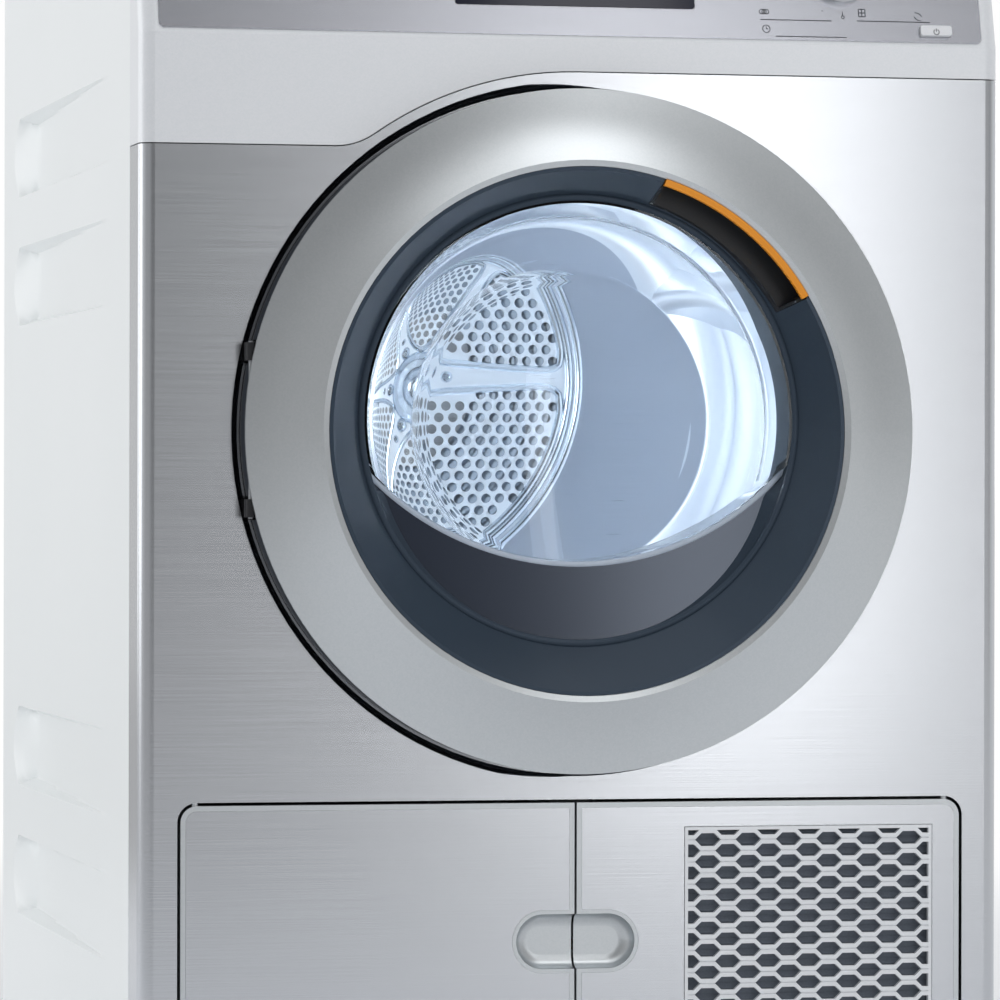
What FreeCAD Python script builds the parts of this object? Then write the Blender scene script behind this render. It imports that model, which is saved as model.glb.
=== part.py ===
import FreeCAD, Part
import Sketcher
import os
import re

# Heat pump tumble dryer with a round front door, two service flaps and a tilted control fascia.
# Millimetres. X points right, Y to the back and Z up; the feet stand on Z = 0 and the door faces -Y.

os.makedirs("parts", exist_ok=True)
doc = FreeCAD.newDocument("heat_pump_dryer")

# Driving sizes, one spreadsheet row each.
SIZES = {
    # casing
    "case_width": 595, "case_depth": 685, "sheet_wall": 1, "corner_radius": 10, "front_wrap": 44,
    "return_flange": 14, "foot_height": 15, "lid_height": 30, "lid_setback": 14, "lid_edge": 4,
    "seam_gap": 0.8, "panel_gap": 0.3, "rear_bulge": 50, "drum_clear": 30,
    # scooped grips pressed into the side panels
    "scoop_front": 134, "scoop_end": 67, "scoop_margin": 58, "scoop_depth": 13, "scoop_height": 59,
    "scoop_shift": 11.5, "scoop_inner": 175.5, "scoop_pitch": 98,
    # fascia and controls
    "fascia_wall": 2.5, "seam_margin": 7, "seam_drop": 52.4, "blend_radius": 45, "bend_rise": 21,
    "panel_tilt": 15, "plate_inset": 12.5, "plate_low": 3, "plate_high": 7.21, "plate_corner": 4,
    "plate_wall": 0.8, "display_half": 83, "display_share": 0.2476, "screen_share": 0.5238,
    "knob_inset": 109.5, "knob_share": 0.6048, "knob_radius": 22.5, "knob_height": 17, "knob_wall": 2.5,
    "knob_taper": 1.6, "knob_round": 3, "spindle_radius": 3, "button_inset": 45.5, "power_share": 0.094,
    "start_share": 0.869, "button_length": 22, "button_height": 7, "button_proud": 3.5,
    "button_inside": 7, "button_corner": 1.5, "board_gap": 10, "board_depth": 22, "board_half": 45,
    "board_margin": 5, "board_corner": 3, "post_inset": 10, "encoder_depth": 6, "boss_radius": 4,
    # door
    "door_height": 465, "ring_radius": 230, "ring_width": 49, "ring_lip": 4, "lip_drop": 2,
    "lip_depth": 9, "ring_wall": 4, "ring_land": 4.5, "ring_dome": 2.2, "rim_proud": 20, "door_proud": 40,
    "frame_seat": 17, "frame_step": 1, "frame_wall": 3, "frame_back": 6, "tube_inset": 20,
    "window_inset": 8, "window_lift": 7.7, "window_proud": 10, "surround_wall": 2.5, "glass_lap": 12,
    "glass_wall": 4, "bowl_depth": 62, "bowl_shoulder": 26, "bowl_taper": 9, "bowl_round": 22,
    "glass_play": 2, "apron_arc": 200, "apron_rise": 61, "apron_tilt": 6, "apron_wall": 3,
    "filter_wall": 14, "filter_inset": 10, "grip_start_angle": 31, "grip_end_angle": 73,
    "grip_inset": 6.3, "grip_lap": 9, "grip_floor": 12, "grip_wall": 2, "grip_top": 30.8,
    "strip_width": 4.3, "strip_depth": 5.5, "strip_proud": 39, "strip_bevel": 1.5, "strip_gap": 0.2,
    "strip_trim_angle": 0.3, "grip_wall_angle": 0.7, "grip_play_angle": 0.1,
    # door hinge and lock
    "hinge_inset": 5, "hinge_proud": 11, "pin_radius": 2.5, "run_gap": 0.05, "ear_radius": 5,
    "ear_offset": 52, "ear_height": 12, "ear_gap": 2, "arm_left": 1.5, "arm_right": 5,
    "knuckle_width": 13, "hinge_plate_wall": 3, "hinge_plate_half": 72, "hinge_plate_out": 26,
    "hinge_plate_in": 12, "hook_inset": 13.5, "hook_width": 7, "hook_height": 16, "hook_reach": 18,
    "hook_neck": 3, "hook_tip": 6, "hook_bevel": 2, "notch_relief": 3, "slot_relief": 4, "lock_wall": 3,
    "lock_gap": 3, "lock_depth": 25,
    # front opening, seal and loading port
    "door_gap": 6, "dish_draft": 5, "dish_depth": 8, "dish_roll": 1.4, "port_step": 20, "port_inset": 50,
    "port_wall": 3, "port_round": 4, "port_lap": 5, "port_length": 57, "seal_inset": 1.5, "seal_width": 6,
    "seal_taper": 1,
    # service flaps
    "flap_inset": 28, "flap_low": 28, "flap_margin": 14, "flap_corner": 11, "flap_seam": 1.6,
    "flap_gap": 2.2, "flap_depth": 14, "flap_wall": 2.5, "flap_border": 3.4, "skin_wall": 0.8,
    "cup_length": 41, "cup_half": 18.5, "cup_depth": 10, "cup_lip": 2.6, "opening_flange": 20,
    "flap_pivot_in": 10, "flap_pivot_back": 4, "flap_pin_reach": 9, "flap_pin_root": 20, "skin_play": 0.2,
    "bush_half": 8, "bush_height": 8, "catch_half": 15, "catch_depth": 5, "catch_drop": 12,
    "grille_left": 75.8, "grille_inset": 19, "grille_margin": 17, "grille_wall": 4, "grille_border": 2.2,
    "hole_pitch": 28.4, "hole_rise": 15, "hole_length": 16.6, "hole_flat": 9.2, "hole_height": 8.1,
    # drum
    "drum_lift": 45, "drum_side": 16.5, "drum_wall": 1.2, "drum_front": 76, "drum_room": 161,
    "drum_lip": 14, "lip_round": 4, "bead_radius": 137, "bead_half": 6, "bead_height": 3,
    "perforated_radius": 128, "perforation_pitch": 17, "perforation_radius": 4.5, "spoke_half": 9,
    "hub_radius": 46, "lifter_height": 58, "lifter_half": 40, "lifter_top": 9, "lifter_crown": 4,
    "lifter_wall": 1.5, "lifter_gap": 0.2, "lifter_angle": 20, "lifter_inset": 40, "shaft_radius": 10,
    "shaft_length": 40, "spider_radius": 70, "spider_wall": 4, "spider_rise": 5, "bush_wall": 6,
    "felt_gap": 0.3,
    # drum supports
    "shield_depth": 60, "shield_wall": 1.2, "shield_drop": 8, "felt_wall": 3.7, "collar_wall": 4,
    "collar_length": 18, "roller_radius": 24, "roller_width": 14, "roller_angle": 38, "roller_start": 84,
    "axle_radius": 4, "axle_end": 4, "felt_start": 4, "duct_lip": 4, "mouth_height": 12,
    "bulkhead_gap": 14, "bulkhead_wall": 1.2, "duct_inner": 60, "duct_inset": 82, "duct_spoke": 16,
    "housing_wall": 8, "housing_length": 24, "felt_inset": 28, "felt_width": 8, "duct_wall": 3,
    "cover_flange": 14, "cover_wall": 1.5, "cover_draft": 3, "cover_round": 14,
    # drive
    "motor_offset": -30, "motor_radius": 56, "motor_length": 92, "motor_lap": 92, "motor_shaft": 7,
    "bell_height": 16, "bell_length": 14, "pulley_radius": 9, "pulley_rim": 13, "pulley_width": 14,
    "belt_inset": 114, "belt_width": 9, "pulley_flange": 2, "shaft_stop": 4, "belt_wall": 2.4,
    "belt_gap": 0.3, "motor_foot": 70, "fan_radius": 66, "fan_clear": 34, "fan_width": 34, "fan_wall": 3,
    "fan_hub": 15, "blade_half": 1, "blade_sweep": 12, "blade_bow": 4, "scroll_gap": 6,
    "scroll_radius": 82, "scroll_wall": 2.5, "scroll_clear": 26, "scroll_inlet": 44, "chimney_half": 50,
    "idler_radius": 16, "idler_width": 12, "idler_run": 110, "post_half": 11, "post_wall": 6,
    # base and heat pump
    "tray_front": 47, "tray_wall": 4, "tray_height": 40, "tray_gap": 0.3, "foot_radius": 20,
    "foot_pad": 6, "stud_radius": 5, "foot_inset": 45, "channel_inset": 8.5, "channel_right": 68,
    "channel_front": 76, "channel_length": 320, "channel_drop": 22, "channel_wall": 3,
    "evaporator_start": 82, "evaporator_length": 95, "condenser_start": 206, "condenser_length": 150,
    "fin_wall": 0.8, "coil_radius": 5, "compressor_inset": 131.5, "compressor_depth": 330,
    "compressor_radius": 62, "compressor_clear": 29, "dome_height": 34, "foot_bevel": 14, "weld_drop": 70,
    "weld_width": 12, "weld_rise": 2, "mount_height": 14, "mount_radius": 13, "mount_circle": 70,
    "mount_neck": 3, "mount_flare": 5, "mount_plate": 3, "plate_radius": 86, "pipe_radius": 4,
    "pipe_step": 30, "pipe_lane": 20, "frame_corner": 6, "strut_wall": 4, "strut_half": 4,
    "axle_start": 6, "fan_frame_half": 75, "fan_frame_depth": 28, "fan_frame_start": 52, "fan_hole": 70,
    "wheel_radius": 66, "wheel_hub": 20, "wheel_depth": 18, "boss_core": 18, "pump_inset": 60.5,
    "pump_room": 125, "pump_half": 30, "pump_length": 70, "pump_height": 52, "pump_motor": 24,
    "pump_draft": 2, "pump_crown": 6, "pump_rise": 40, "gland_inset": 91.5, "fitting_height": 120,
    "gland_radius": 15, "gland_bore": 7, "gland_length": 16, "spigot_inset": 81.5, "spigot_radius": 10,
    "spigot_bore": 7, "spigot_length": 28, "spigot_inside": 6, "fitting_flange": 18, "flange_wall": 3,
    "vent_half": 55, "vent_height": 5, "vent_pitch": 12,
}

# Places worked out from the sizes.
PLACES = {
    "front_face": "(door_proud - case_depth - sheet_wall - rear_bulge) / 2",
    "back_face": "front_face + case_depth",
    "half_width": "case_width / 2",
    "inner_half": "half_width - sheet_wall",
    "case_top": "drum_height + drum_radius + drum_clear",
    "quarter_arc": "(1 - sqrt(0.5))",
    "seam_right": "door_height + fascia_arc",
    "seam_left": "seam_right - seam_drop",
    "blend_height": "seam_left + blend_radius",
    "blend_span": "fascia_arc + blend_radius",
    "blend_cosine": "(blend_height - door_height) / blend_span",
    "blend_centre": "-sqrt(blend_span ^ 2 - (blend_height - door_height) ^ 2)",
    "blend_sag": "(1 - sqrt((1 + blend_cosine) / 2))",
    "panel_height": "case_top - bend_height",
    "slope_length": "panel_height / cos(panel_tilt)",
    "panel_setback": "panel_height * tan(panel_tilt)",
    "dish_back": "dish_depth + sheet_wall",
    "flap_centre": "(flap_low + flap_top) / 2",
    "open_half": "flap_half + flap_gap",
    "open_low": "flap_low - flap_gap",
    "open_top": "flap_top + flap_gap",
    "open_corner": "flap_corner + flap_gap",
    "pivot_place": "flap_half - flap_pivot_in",
    "cup_centre": "cup_length - cup_half",
    "window_height": "door_height + window_lift",
    "apron_centre": "door_height - apron_drop + apron_arc",
    "lip_radius": "ring_crest - ring_lip",
    "lip_back": "door_proud - lip_depth",
    "hinge_place": "front_face - hinge_proud",
    "drum_back_face": "drum_front + drum_length",
    "drum_inner": "drum_radius - drum_wall",
    "bulkhead_face": "drum_back_face + drum_wall + bulkhead_gap",
    "bulkhead_back": "bulkhead_face + bulkhead_wall",
    "shield_back": "shield_depth + shield_wall",
    "felt_radius": "drum_radius - drum_lip - felt_gap",
    "roller_reach": "drum_radius + felt_gap + roller_radius",
    "roller_side": "roller_reach * sin(roller_angle)",
    "roller_height": "drum_height - roller_reach * cos(roller_angle)",
    "floor_height": "foot_height + tray_wall",
    "grille_low": "flap_low + grille_margin",
    "grille_top": "flap_top - grille_margin",
    "grille_centre": "grille_left + grille_width / 2",
    "belt_inner": "drum_radius + belt_gap",
    "belt_pulley": "pulley_radius + belt_gap",
    "belt_span": "sqrt(motor_offset ^ 2 + (drum_height - motor_height) ^ 2)",
    "compressor_base": "floor_height + mount_height",
    "belt_across": "motor_offset / belt_span",
    "belt_down": "(motor_height - drum_height) / belt_span",
    "belt_lean": "(belt_inner - belt_pulley) / belt_span",
    "belt_rest": "sqrt(1 - belt_lean ^ 2)",
    "run_out": "belt_across * belt_lean - belt_down * belt_rest",
    "run_up": "belt_down * belt_lean + belt_across * belt_rest",
    "idler_stand": "belt_pulley + belt_wall + belt_gap + idler_radius",
    "idler_side": "motor_offset + run_out * idler_stand - run_up * idler_run",
    "idler_height": "motor_height + run_up * idler_stand + run_out * idler_run",
    "scoop_run": "(scoop_deepest - scoop_front) / scoop_depth",
    "scoop_fall": "(scoop_rear - scoop_deepest) / scoop_depth",
    "scroll_back": "fan_start + fan_width + scroll_gap",
    "motor_end": "motor_start + motor_length",
    "base_room": "drum_height - drum_radius",
    "case_height": "case_top + lid_height",
    "frame_radius": "ring_radius - frame_step",
    "dish_radius": "ring_radius + door_gap",
    "dish_floor": "dish_radius - dish_draft",
    "hinge_offset": "frame_radius - hinge_inset",
    "hook_centre": "frame_radius - hook_inset",
    "fascia_arc": "dish_radius + seam_margin",
    "bend_height": "seam_right + bend_rise",
    "drum_height": "door_height + drum_lift",
    "flap_top": "door_height - dish_radius - flap_margin",
    "scoop_centre": "(foot_height + case_top) / 2 - scoop_shift",
    "scoop_deepest": "scoop_rear - scoop_end",
    "scoop_rear": "case_depth - scoop_margin",
    "shield_low": "base_room - shield_drop",
    "shield_top": "case_top - shield_drop",
    "channel_top": "base_room - channel_drop",
    "compressor_height": "base_room - compressor_clear - compressor_base",
    "motor_height": "(floor_height + base_room) / 2",
    "port_radius": "ring_radius - port_inset",
    "port_hole": "port_radius + port_step",
    "port_flange": "port_hole + port_lap",
    "seal_inner": "port_hole + seal_inset",
    "seal_outer": "seal_inner + seal_width",
    "tube_radius": "port_radius - tube_inset",
    "glass_radius": "tube_radius + glass_lap",
    "window_radius": "tube_radius - window_inset",
    "ring_crest": "ring_radius - ring_width",
    "grip_inner": "window_radius + grip_inset",
    "grip_outer": "ring_crest + grip_lap",
    "apron_drop": "window_radius - apron_rise",
    "drum_radius": "inner_half - drum_side",
    "collar_radius": "felt_radius - felt_wall - collar_wall",
    "duct_outer": "drum_radius - duct_inset",
    "cover_radius": "duct_outer + cover_flange",
    "rear_felt_inner": "duct_outer + felt_inset",
    "rear_felt_outer": "rear_felt_inner + felt_width",
    "gland_offset": "inner_half - gland_inset",
    "spigot_offset": "spigot_inset - inner_half",
    "pump_offset": "inner_half - pump_inset",
    "compressor_offset": "inner_half - compressor_inset",
    "channel_left": "inner_half - channel_inset",
    "flap_half": "half_width - flap_inset",
    "plate_half": "half_width - plate_inset",
    "knob_centre": "half_width - knob_inset",
    "button_centre": "half_width - button_inset",
    "grille_width": "flap_half - grille_inset - grille_left",
    "drum_length": "case_depth - drum_room",
    "motor_start": "drum_back_face - motor_lap",
    "fan_start": "drum_back_face + fan_clear",
    "scroll_front": "drum_back_face + scroll_clear",
    "belt_place": "drum_back_face - belt_inset",
    "pump_start": "case_depth - pump_room",
    "plate_length": "slope_length - plate_low - plate_high",
    "display_low": "plate_low + plate_length * display_share",
    "display_length": "plate_length * screen_share",
    "knob_rise": "plate_low + plate_length * knob_share",
    "power_rise": "plate_low + plate_length * power_share",
    "start_rise": "plate_low + plate_length * start_share",
}

sheet = doc.addObject("Spreadsheet::Sheet", "Sizes")
for row, (alias, size) in enumerate(SIZES.items(), 1):
    sheet.set(f"A{row}", alias)
    sheet.set(f"B{row}", str(size))
    sheet.setAlias(f"B{row}", alias)
doc.recompute()

NAMED = re.compile(r"[a-z]+(?:_[a-z]+)+")
NODES = {}


def formula(words):
    """Words over size and place names, as an expression on the cells of the sheet."""
    def swap(found):
        name = found.group()
        if name in PLACES:
            return "(" + formula(PLACES[name]) + ")"
        return "Sizes." + name
    return NAMED.sub(swap, str(words))


def number(words):
    """The present value of a formula."""
    return float(sheet.evalExpression(formula(words)))


def bind(item, prop, words):
    item.setExpression(prop, formula(words))


def place(item, x, y, z):
    """Bind the position of an item to three formulas."""
    bind(item, "Placement.Base.x", x)
    bind(item, "Placement.Base.y", y)
    bind(item, "Placement.Base.z", z)


def turn(item, axis, angle):
    """Turn an item about an axis through its own origin by a formula in degrees."""
    item.Placement = FreeCAD.Placement(FreeCAD.Vector(), FreeCAD.Rotation(axis, number(angle)))


def node(label, item):
    """Name a finished sub-part."""
    item.Label = label
    NODES[label] = item
    return item


# Primitives and booleans.
ALONG = {
    "x": FreeCAD.Rotation(FreeCAD.Vector(0, 1, 0), 90),
    "y": FreeCAD.Rotation(FreeCAD.Vector(1, 0, 0), -90),
    "z": FreeCAD.Rotation(),
}


def box(x, y, z):
    """A box between pairs of formulas."""
    item = doc.addObject("Part::Box", "box")
    for prop, (low, high) in zip(("Length", "Width", "Height"), (x, y, z)):
        bind(item, prop, f"({high}) - ({low})")
    place(item, x[0], y[0], z[0])
    return item


def rod(axis, centre, span, radius):
    """A cylinder along an axis, at the two other coordinates, between two formulas."""
    item = doc.addObject("Part::Cylinder", "rod")
    bind(item, "Radius", radius)
    bind(item, "Height", f"({span[1]}) - ({span[0]})")
    item.Placement = FreeCAD.Placement(FreeCAD.Vector(), ALONG[axis])
    spots = list(centre)
    spots.insert("xyz".index(axis), span[0])
    place(item, *spots)
    return item


def fuse(*items):
    item = doc.addObject("Part::MultiFuse", "fuse")
    item.Shapes = list(items)
    item.Refine = True
    return item


def cut(base, *tools):
    item = doc.addObject("Part::Cut", "cut")
    item.Base = base
    item.Tool = tools[0] if len(tools) == 1 else fuse(*tools)
    item.Refine = True
    return item


def common(first, second):
    item = doc.addObject("Part::MultiCommon", "common")
    item.Shapes = [first, second]
    return item


def group(*items):
    """Separate solids of one sub-part."""
    item = doc.addObject("Part::Compound", "group")
    item.Links = list(items)
    return item


def mirrored(source):
    """The same piece on the other side of the middle plane."""
    item = doc.addObject("Part::Mirroring", "mirrored")
    item.Source = source
    item.Normal = (1, 0, 0)
    return item


def tube(axis, centre, span, outer, inner):
    return cut(rod(axis, centre, span, outer), rod(axis, centre, span, inner))


# Sketched bodies.
def add_loop(sketch, corners):
    """Close a loop of (u, v) corners. A third formula bulges the side that leaves a corner, to its right."""
    points = [FreeCAD.Vector(number(corner[0]), number(corner[1]), 0) for corner in corners]
    sides = []
    for index, corner in enumerate(corners):
        here = points[index]
        there = points[(index + 1) % len(points)]
        if len(corner) == 3:
            step = there - here
            across = FreeCAD.Vector(step.y, -step.x, 0).normalize()
            rise = number(corner[2])
            middle = (here + there) * 0.5 + across * rise
            sides.append(Part.Arc(here, middle, there) if rise > 0 else Part.Arc(there, middle, here))
        else:
            sides.append(Part.LineSegment(here, there))
    ids = sketch.addGeometry(sides, False)
    starts = []
    for side, here in zip(ids, points):
        near = sketch.Geometry[side].StartPoint.distanceToPoint(here)
        far = sketch.Geometry[side].EndPoint.distanceToPoint(here)
        starts.append(1 if near < far else 2)
    for index, side in enumerate(ids):
        after = (index + 1) % len(ids)
        joined = (side, 3 - starts[index], ids[after], starts[after])
        sketch.addConstraint(Sketcher.Constraint("Coincident", *joined))
    for index, corner in enumerate(corners):
        spots = (("DistanceX", corner[0], points[index].x), ("DistanceY", corner[1], points[index].y))
        for kind, words, now in spots:
            spot = sketch.addConstraint(Sketcher.Constraint(kind, -1, 1, ids[index], starts[index], now))
            sketch.setExpression(f"Constraints[{spot}]", formula(words))
        if len(corner) == 3:
            after = corners[(index + 1) % len(corners)]
            chord = f"((({after[0]}) - ({corner[0]})) ^ 2 + (({after[1]}) - ({corner[1]})) ^ 2)"
            radius = f"{chord} / (8 * abs({corner[2]})) + abs({corner[2]}) / 2"
            spot = sketch.addConstraint(Sketcher.Constraint("Radius", ids[index], number(radius)))
            sketch.setExpression(f"Constraints[{spot}]", formula(radius))


def add_circle(sketch, u, v, radius):
    centre = FreeCAD.Vector(number(u), number(v), 0)
    side = sketch.addGeometry(Part.Circle(centre, FreeCAD.Vector(0, 0, 1), number(radius)), False)
    for kind, spot, words in (("DistanceX", centre.x, u), ("DistanceY", centre.y, v)):
        index = sketch.addConstraint(Sketcher.Constraint(kind, -1, 1, side, 3, spot))
        sketch.setExpression(f"Constraints[{index}]", formula(words))
    index = sketch.addConstraint(Sketcher.Constraint("Radius", side, number(radius)))
    sketch.setExpression(f"Constraints[{index}]", formula(radius))


def draw(body, plane, loops, shift="0"):
    """A sketch on an origin plane of a body, moved along the plane's normal by a formula."""
    sketch = body.newObject("Sketcher::SketchObject", "outline")
    support = [part for part in body.Origin.OriginFeatures if part.Role == plane][0]
    sketch.AttachmentSupport = [(support, "")]
    sketch.MapMode = "FlatFace"
    bind(sketch, "AttachmentOffset.Base.z", shift)
    for loop in loops:
        if loop[0] == "circle":
            add_circle(sketch, *loop[1:])
        else:
            add_loop(sketch, loop)
    return sketch


def padded(plane, loops, length, backwards=False):
    body = doc.addObject("PartDesign::Body", "body")
    pad = body.newObject("PartDesign::Pad", "pad")
    pad.Profile = draw(body, plane, loops)
    pad.Reversed = backwards
    bind(pad, "Length", length)
    body.Tip = pad
    return body


def slab(y, *loops, at=("0", "0")):
    """Outlines in X and Z, drawn about a point, filled from one depth to another."""
    body = padded("XZ_Plane", loops, f"({y[1]}) - ({y[0]})", backwards=True)
    place(body, at[0], y[0], at[1])
    return body


def column(z, *loops):
    """Outlines in X and depth behind the front face, filled from one height to another."""
    body = padded("XY_Plane", loops, f"({z[1]}) - ({z[0]})")
    place(body, "0", "front_face", z[0])
    return body


def turned(at, profile, plane="XY_Plane", sweep="360"):
    """A profile of (radius, place along the axis) turned about Y, or about Z in the XZ plane."""
    body = doc.addObject("PartDesign::Body", "body")
    revolve = body.newObject("PartDesign::Revolution", "turned")
    sketch = draw(body, plane, [profile])
    revolve.Profile = sketch
    revolve.ReferenceAxis = (sketch, ["V_Axis"])
    bind(revolve, "Angle", sweep)
    body.Tip = revolve
    place(body, *at)
    return body


def lofted(plane, at, first, second, shifts):
    """A straight loft between two outlines at two distances along the plane's normal."""
    body = doc.addObject("PartDesign::Body", "body")
    loft = body.newObject("PartDesign::AdditiveLoft", "lofted")
    loft.Profile = draw(body, plane, [first], shifts[0])
    loft.Sections = [draw(body, plane, [second], shifts[1])]
    loft.Ruled = True
    body.Tip = loft
    place(body, *at)
    return body


def rounded(low_u, high_u, low_v, high_v, radius):
    """A rectangle with four round corners."""
    sag = f"({radius}) * quarter_arc"
    return [
        (f"({low_u}) + ({radius})", low_v),
        (f"({high_u}) - ({radius})", low_v, sag),
        (high_u, f"({low_v}) + ({radius})"),
        (high_u, f"({high_v}) - ({radius})", sag),
        (f"({high_u}) - ({radius})", high_v),
        (f"({low_u}) + ({radius})", high_v, sag),
        (low_u, f"({high_v}) - ({radius})"),
        (low_u, f"({low_v}) + ({radius})", sag),
    ]


def rectangle(low_u, high_u, low_v, high_v):
    return [(low_u, low_v), (high_u, low_v), (high_u, high_v), (low_u, high_v)]


def dome(radius, rise):
    """The bulge of a profile's last side that ends square to the axis."""
    chord = f"sqrt(({radius}) ^ 2 + ({rise}) ^ 2)"
    return f"{chord} / 2 * ({chord} - ({radius})) / ({rise})"


DOOR = ("0", "front_face", "door_height")
DRUM = ("0", "front_face", "drum_height")
HINGE = ("-hinge_offset", "hinge_place")


def behind(words):
    """A place measured back from the front face."""
    return f"front_face + ({words})"


# Casing: base tray on four feet, folded side sheets, front, back and lid.
def foot_places():
    side = "inner_half - foot_inset"
    near = "front_face + tray_front + foot_inset"
    far = "back_face - foot_inset"
    return [(f"{sign}({side})", depth) for sign in ("-", "") for depth in (near, far)]


def feet():
    profile = [
        ("0", "0"), ("foot_radius", "0"), ("foot_radius", "foot_pad"), ("stud_radius * 2", "foot_pad * 1.6"),
        ("stud_radius * 2", "foot_height"), ("stud_radius", "foot_height"),
        ("stud_radius", "floor_height - panel_gap"), ("0", "floor_height - panel_gap"),
    ]
    return group(*[turned((x, y, "0"), profile, "XZ_Plane") for x, y in foot_places()])


def base_tray():
    side = "inner_half - tray_gap"
    depth = (behind("tray_front"), "back_face - sheet_wall - tray_gap")
    shell = box((f"-({side})", side), depth, ("foot_height", "foot_height + tray_height"))
    hollow = box(
        (f"-({side}) + tray_wall", f"({side}) - tray_wall"),
        (f"({depth[0]}) + tray_wall", f"({depth[1]}) - tray_wall"),
        ("floor_height", "foot_height + tray_height + 1"),
    )
    holes = [
        rod("z", spot, ("foot_height - 1", "floor_height + 1"), "stud_radius + run_gap")
        for spot in foot_places()
    ]
    return fuse(cut(shell, hollow, *holes), *compressor_mounts())


def scoop(height, spread):
    """The wedge of one pressed grip, grown by a spread for the outside of the pressing."""
    low = f"({height}) - scoop_height / 2 - ({spread})"
    high = f"({height}) + scoop_height / 2 + ({spread})"
    wall = "-half_width"
    return column(
        (low, high),
        [
            (wall, f"scoop_front - ({spread}) * scoop_run"),
            (wall, f"scoop_rear + ({spread}) * scoop_fall"),
            (f"-half_width + scoop_depth + ({spread})", "scoop_deepest"),
        ],
    )


def side_panel():
    start = behind("front_wrap + panel_gap")
    upright = ("foot_height", "case_top")
    plate = box(("-half_width", "-inner_half"), (start, "back_face"), upright)
    edge = ("-half_width", "-half_width + return_flange")
    front_edge = box(edge, (start, f"{start} + sheet_wall"), upright)
    rear_edge = box(edge, ("back_face - sheet_wall", "back_face"), upright)
    top_edge = box(edge, (start, "back_face"), ("case_top - sheet_wall", "case_top"))
    heights = [
        f"scoop_centre {side} ({reach})"
        for side in "+-" for reach in ("scoop_inner", "scoop_inner + scoop_pitch")
    ]
    pressings = [scoop(height, "sheet_wall") for height in heights]
    hollows = [scoop(height, "0") for height in heights]
    return cut(fuse(plate, front_edge, rear_edge, top_edge, *pressings), *hollows)


def lid():
    blank = slab(
        (behind("lid_setback"), "back_face + sheet_wall"),
        [
            ("-half_width", "case_top"), ("half_width", "case_top"),
            ("half_width", "case_height - lid_edge", "lid_edge * quarter_arc"),
            ("half_width - lid_edge", "case_height"),
            ("-half_width + lid_edge", "case_height", "lid_edge * quarter_arc"),
            ("-half_width", "case_height - lid_edge"),
        ],
    )
    plan = column(
        ("case_top - 1", "case_height + 1"),
        rounded("-half_width", "half_width", "lid_setback", "case_depth + sheet_wall", "corner_radius"),
    )
    return common(blank, plan)


def rear_panel():
    spread = ("back_face", "back_face + sheet_wall")
    plate = slab(
        spread,
        rectangle("-inner_half", "inner_half", "foot_height", "case_top"),
        ("circle", "0", "drum_height", "duct_outer"),
        ("circle", "gland_offset", "fitting_height", "gland_radius - flange_wall"),
        ("circle", "spigot_offset", "fitting_height", "spigot_radius + run_gap"),
    )
    rows = range(-3, 4)
    slots = [
        box(
            ("compressor_offset / 2 - vent_half", "compressor_offset / 2 + vent_half"),
            ("back_face - 1", "back_face + sheet_wall + 1"),
            (f"fitting_height + vent_pitch * ({row}) - vent_height / 2",
             f"fitting_height + vent_pitch * ({row}) + vent_height / 2"),
        )
        for row in rows
    ]
    return cut(plate, *slots)


def rear_cover():
    """Round cover of the warm air duct, stepped and domed, on a screw flange."""
    start = "case_depth + sheet_wall"
    end = f"{start} + rear_bulge"
    side = "duct_outer"
    outer = [
        ("0", start), ("cover_radius", start), ("cover_radius", f"{start} + cover_wall"),
        (side, f"{start} + cover_wall"),
        (f"{side} - cover_draft", f"{end} - cover_round", "cover_round * quarter_arc"),
        (f"{side} - cover_draft - cover_round", end), ("0", end),
    ]
    inner = [
        ("0", f"{start} - 1"), (f"{side} - cover_wall", f"{start} - 1"),
        (f"{side} - cover_draft - cover_wall", f"{end} - cover_round",
         "(cover_round - cover_wall) * quarter_arc"),
        (f"{side} - cover_draft - cover_round", f"{end} - cover_wall"), ("0", f"{end} - cover_wall"),
    ]
    return cut(turned(DRUM, outer), turned(DRUM, inner))


# Seam between the fascia and the steel front: flat on the right, round over the door, lower on the left.
def seam(gap):
    """Corners from the left end of the seam to the top of its arc, moved towards the door by a gap."""
    share = f"((fascia_arc - {gap}) / blend_span)"
    touch = (
        f"blend_centre * {share}",
        f"door_height + (blend_height - door_height) * {share}",
        f"-(fascia_arc - {gap}) * blend_sag",
    )
    return [
        ("-half_width - 5", f"seam_left - {gap}"),
        ("blend_centre", f"seam_left - {gap}", f"(blend_radius + {gap}) * blend_sag"),
        touch,
        ("0", f"seam_right - {gap}"),
    ]


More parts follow.
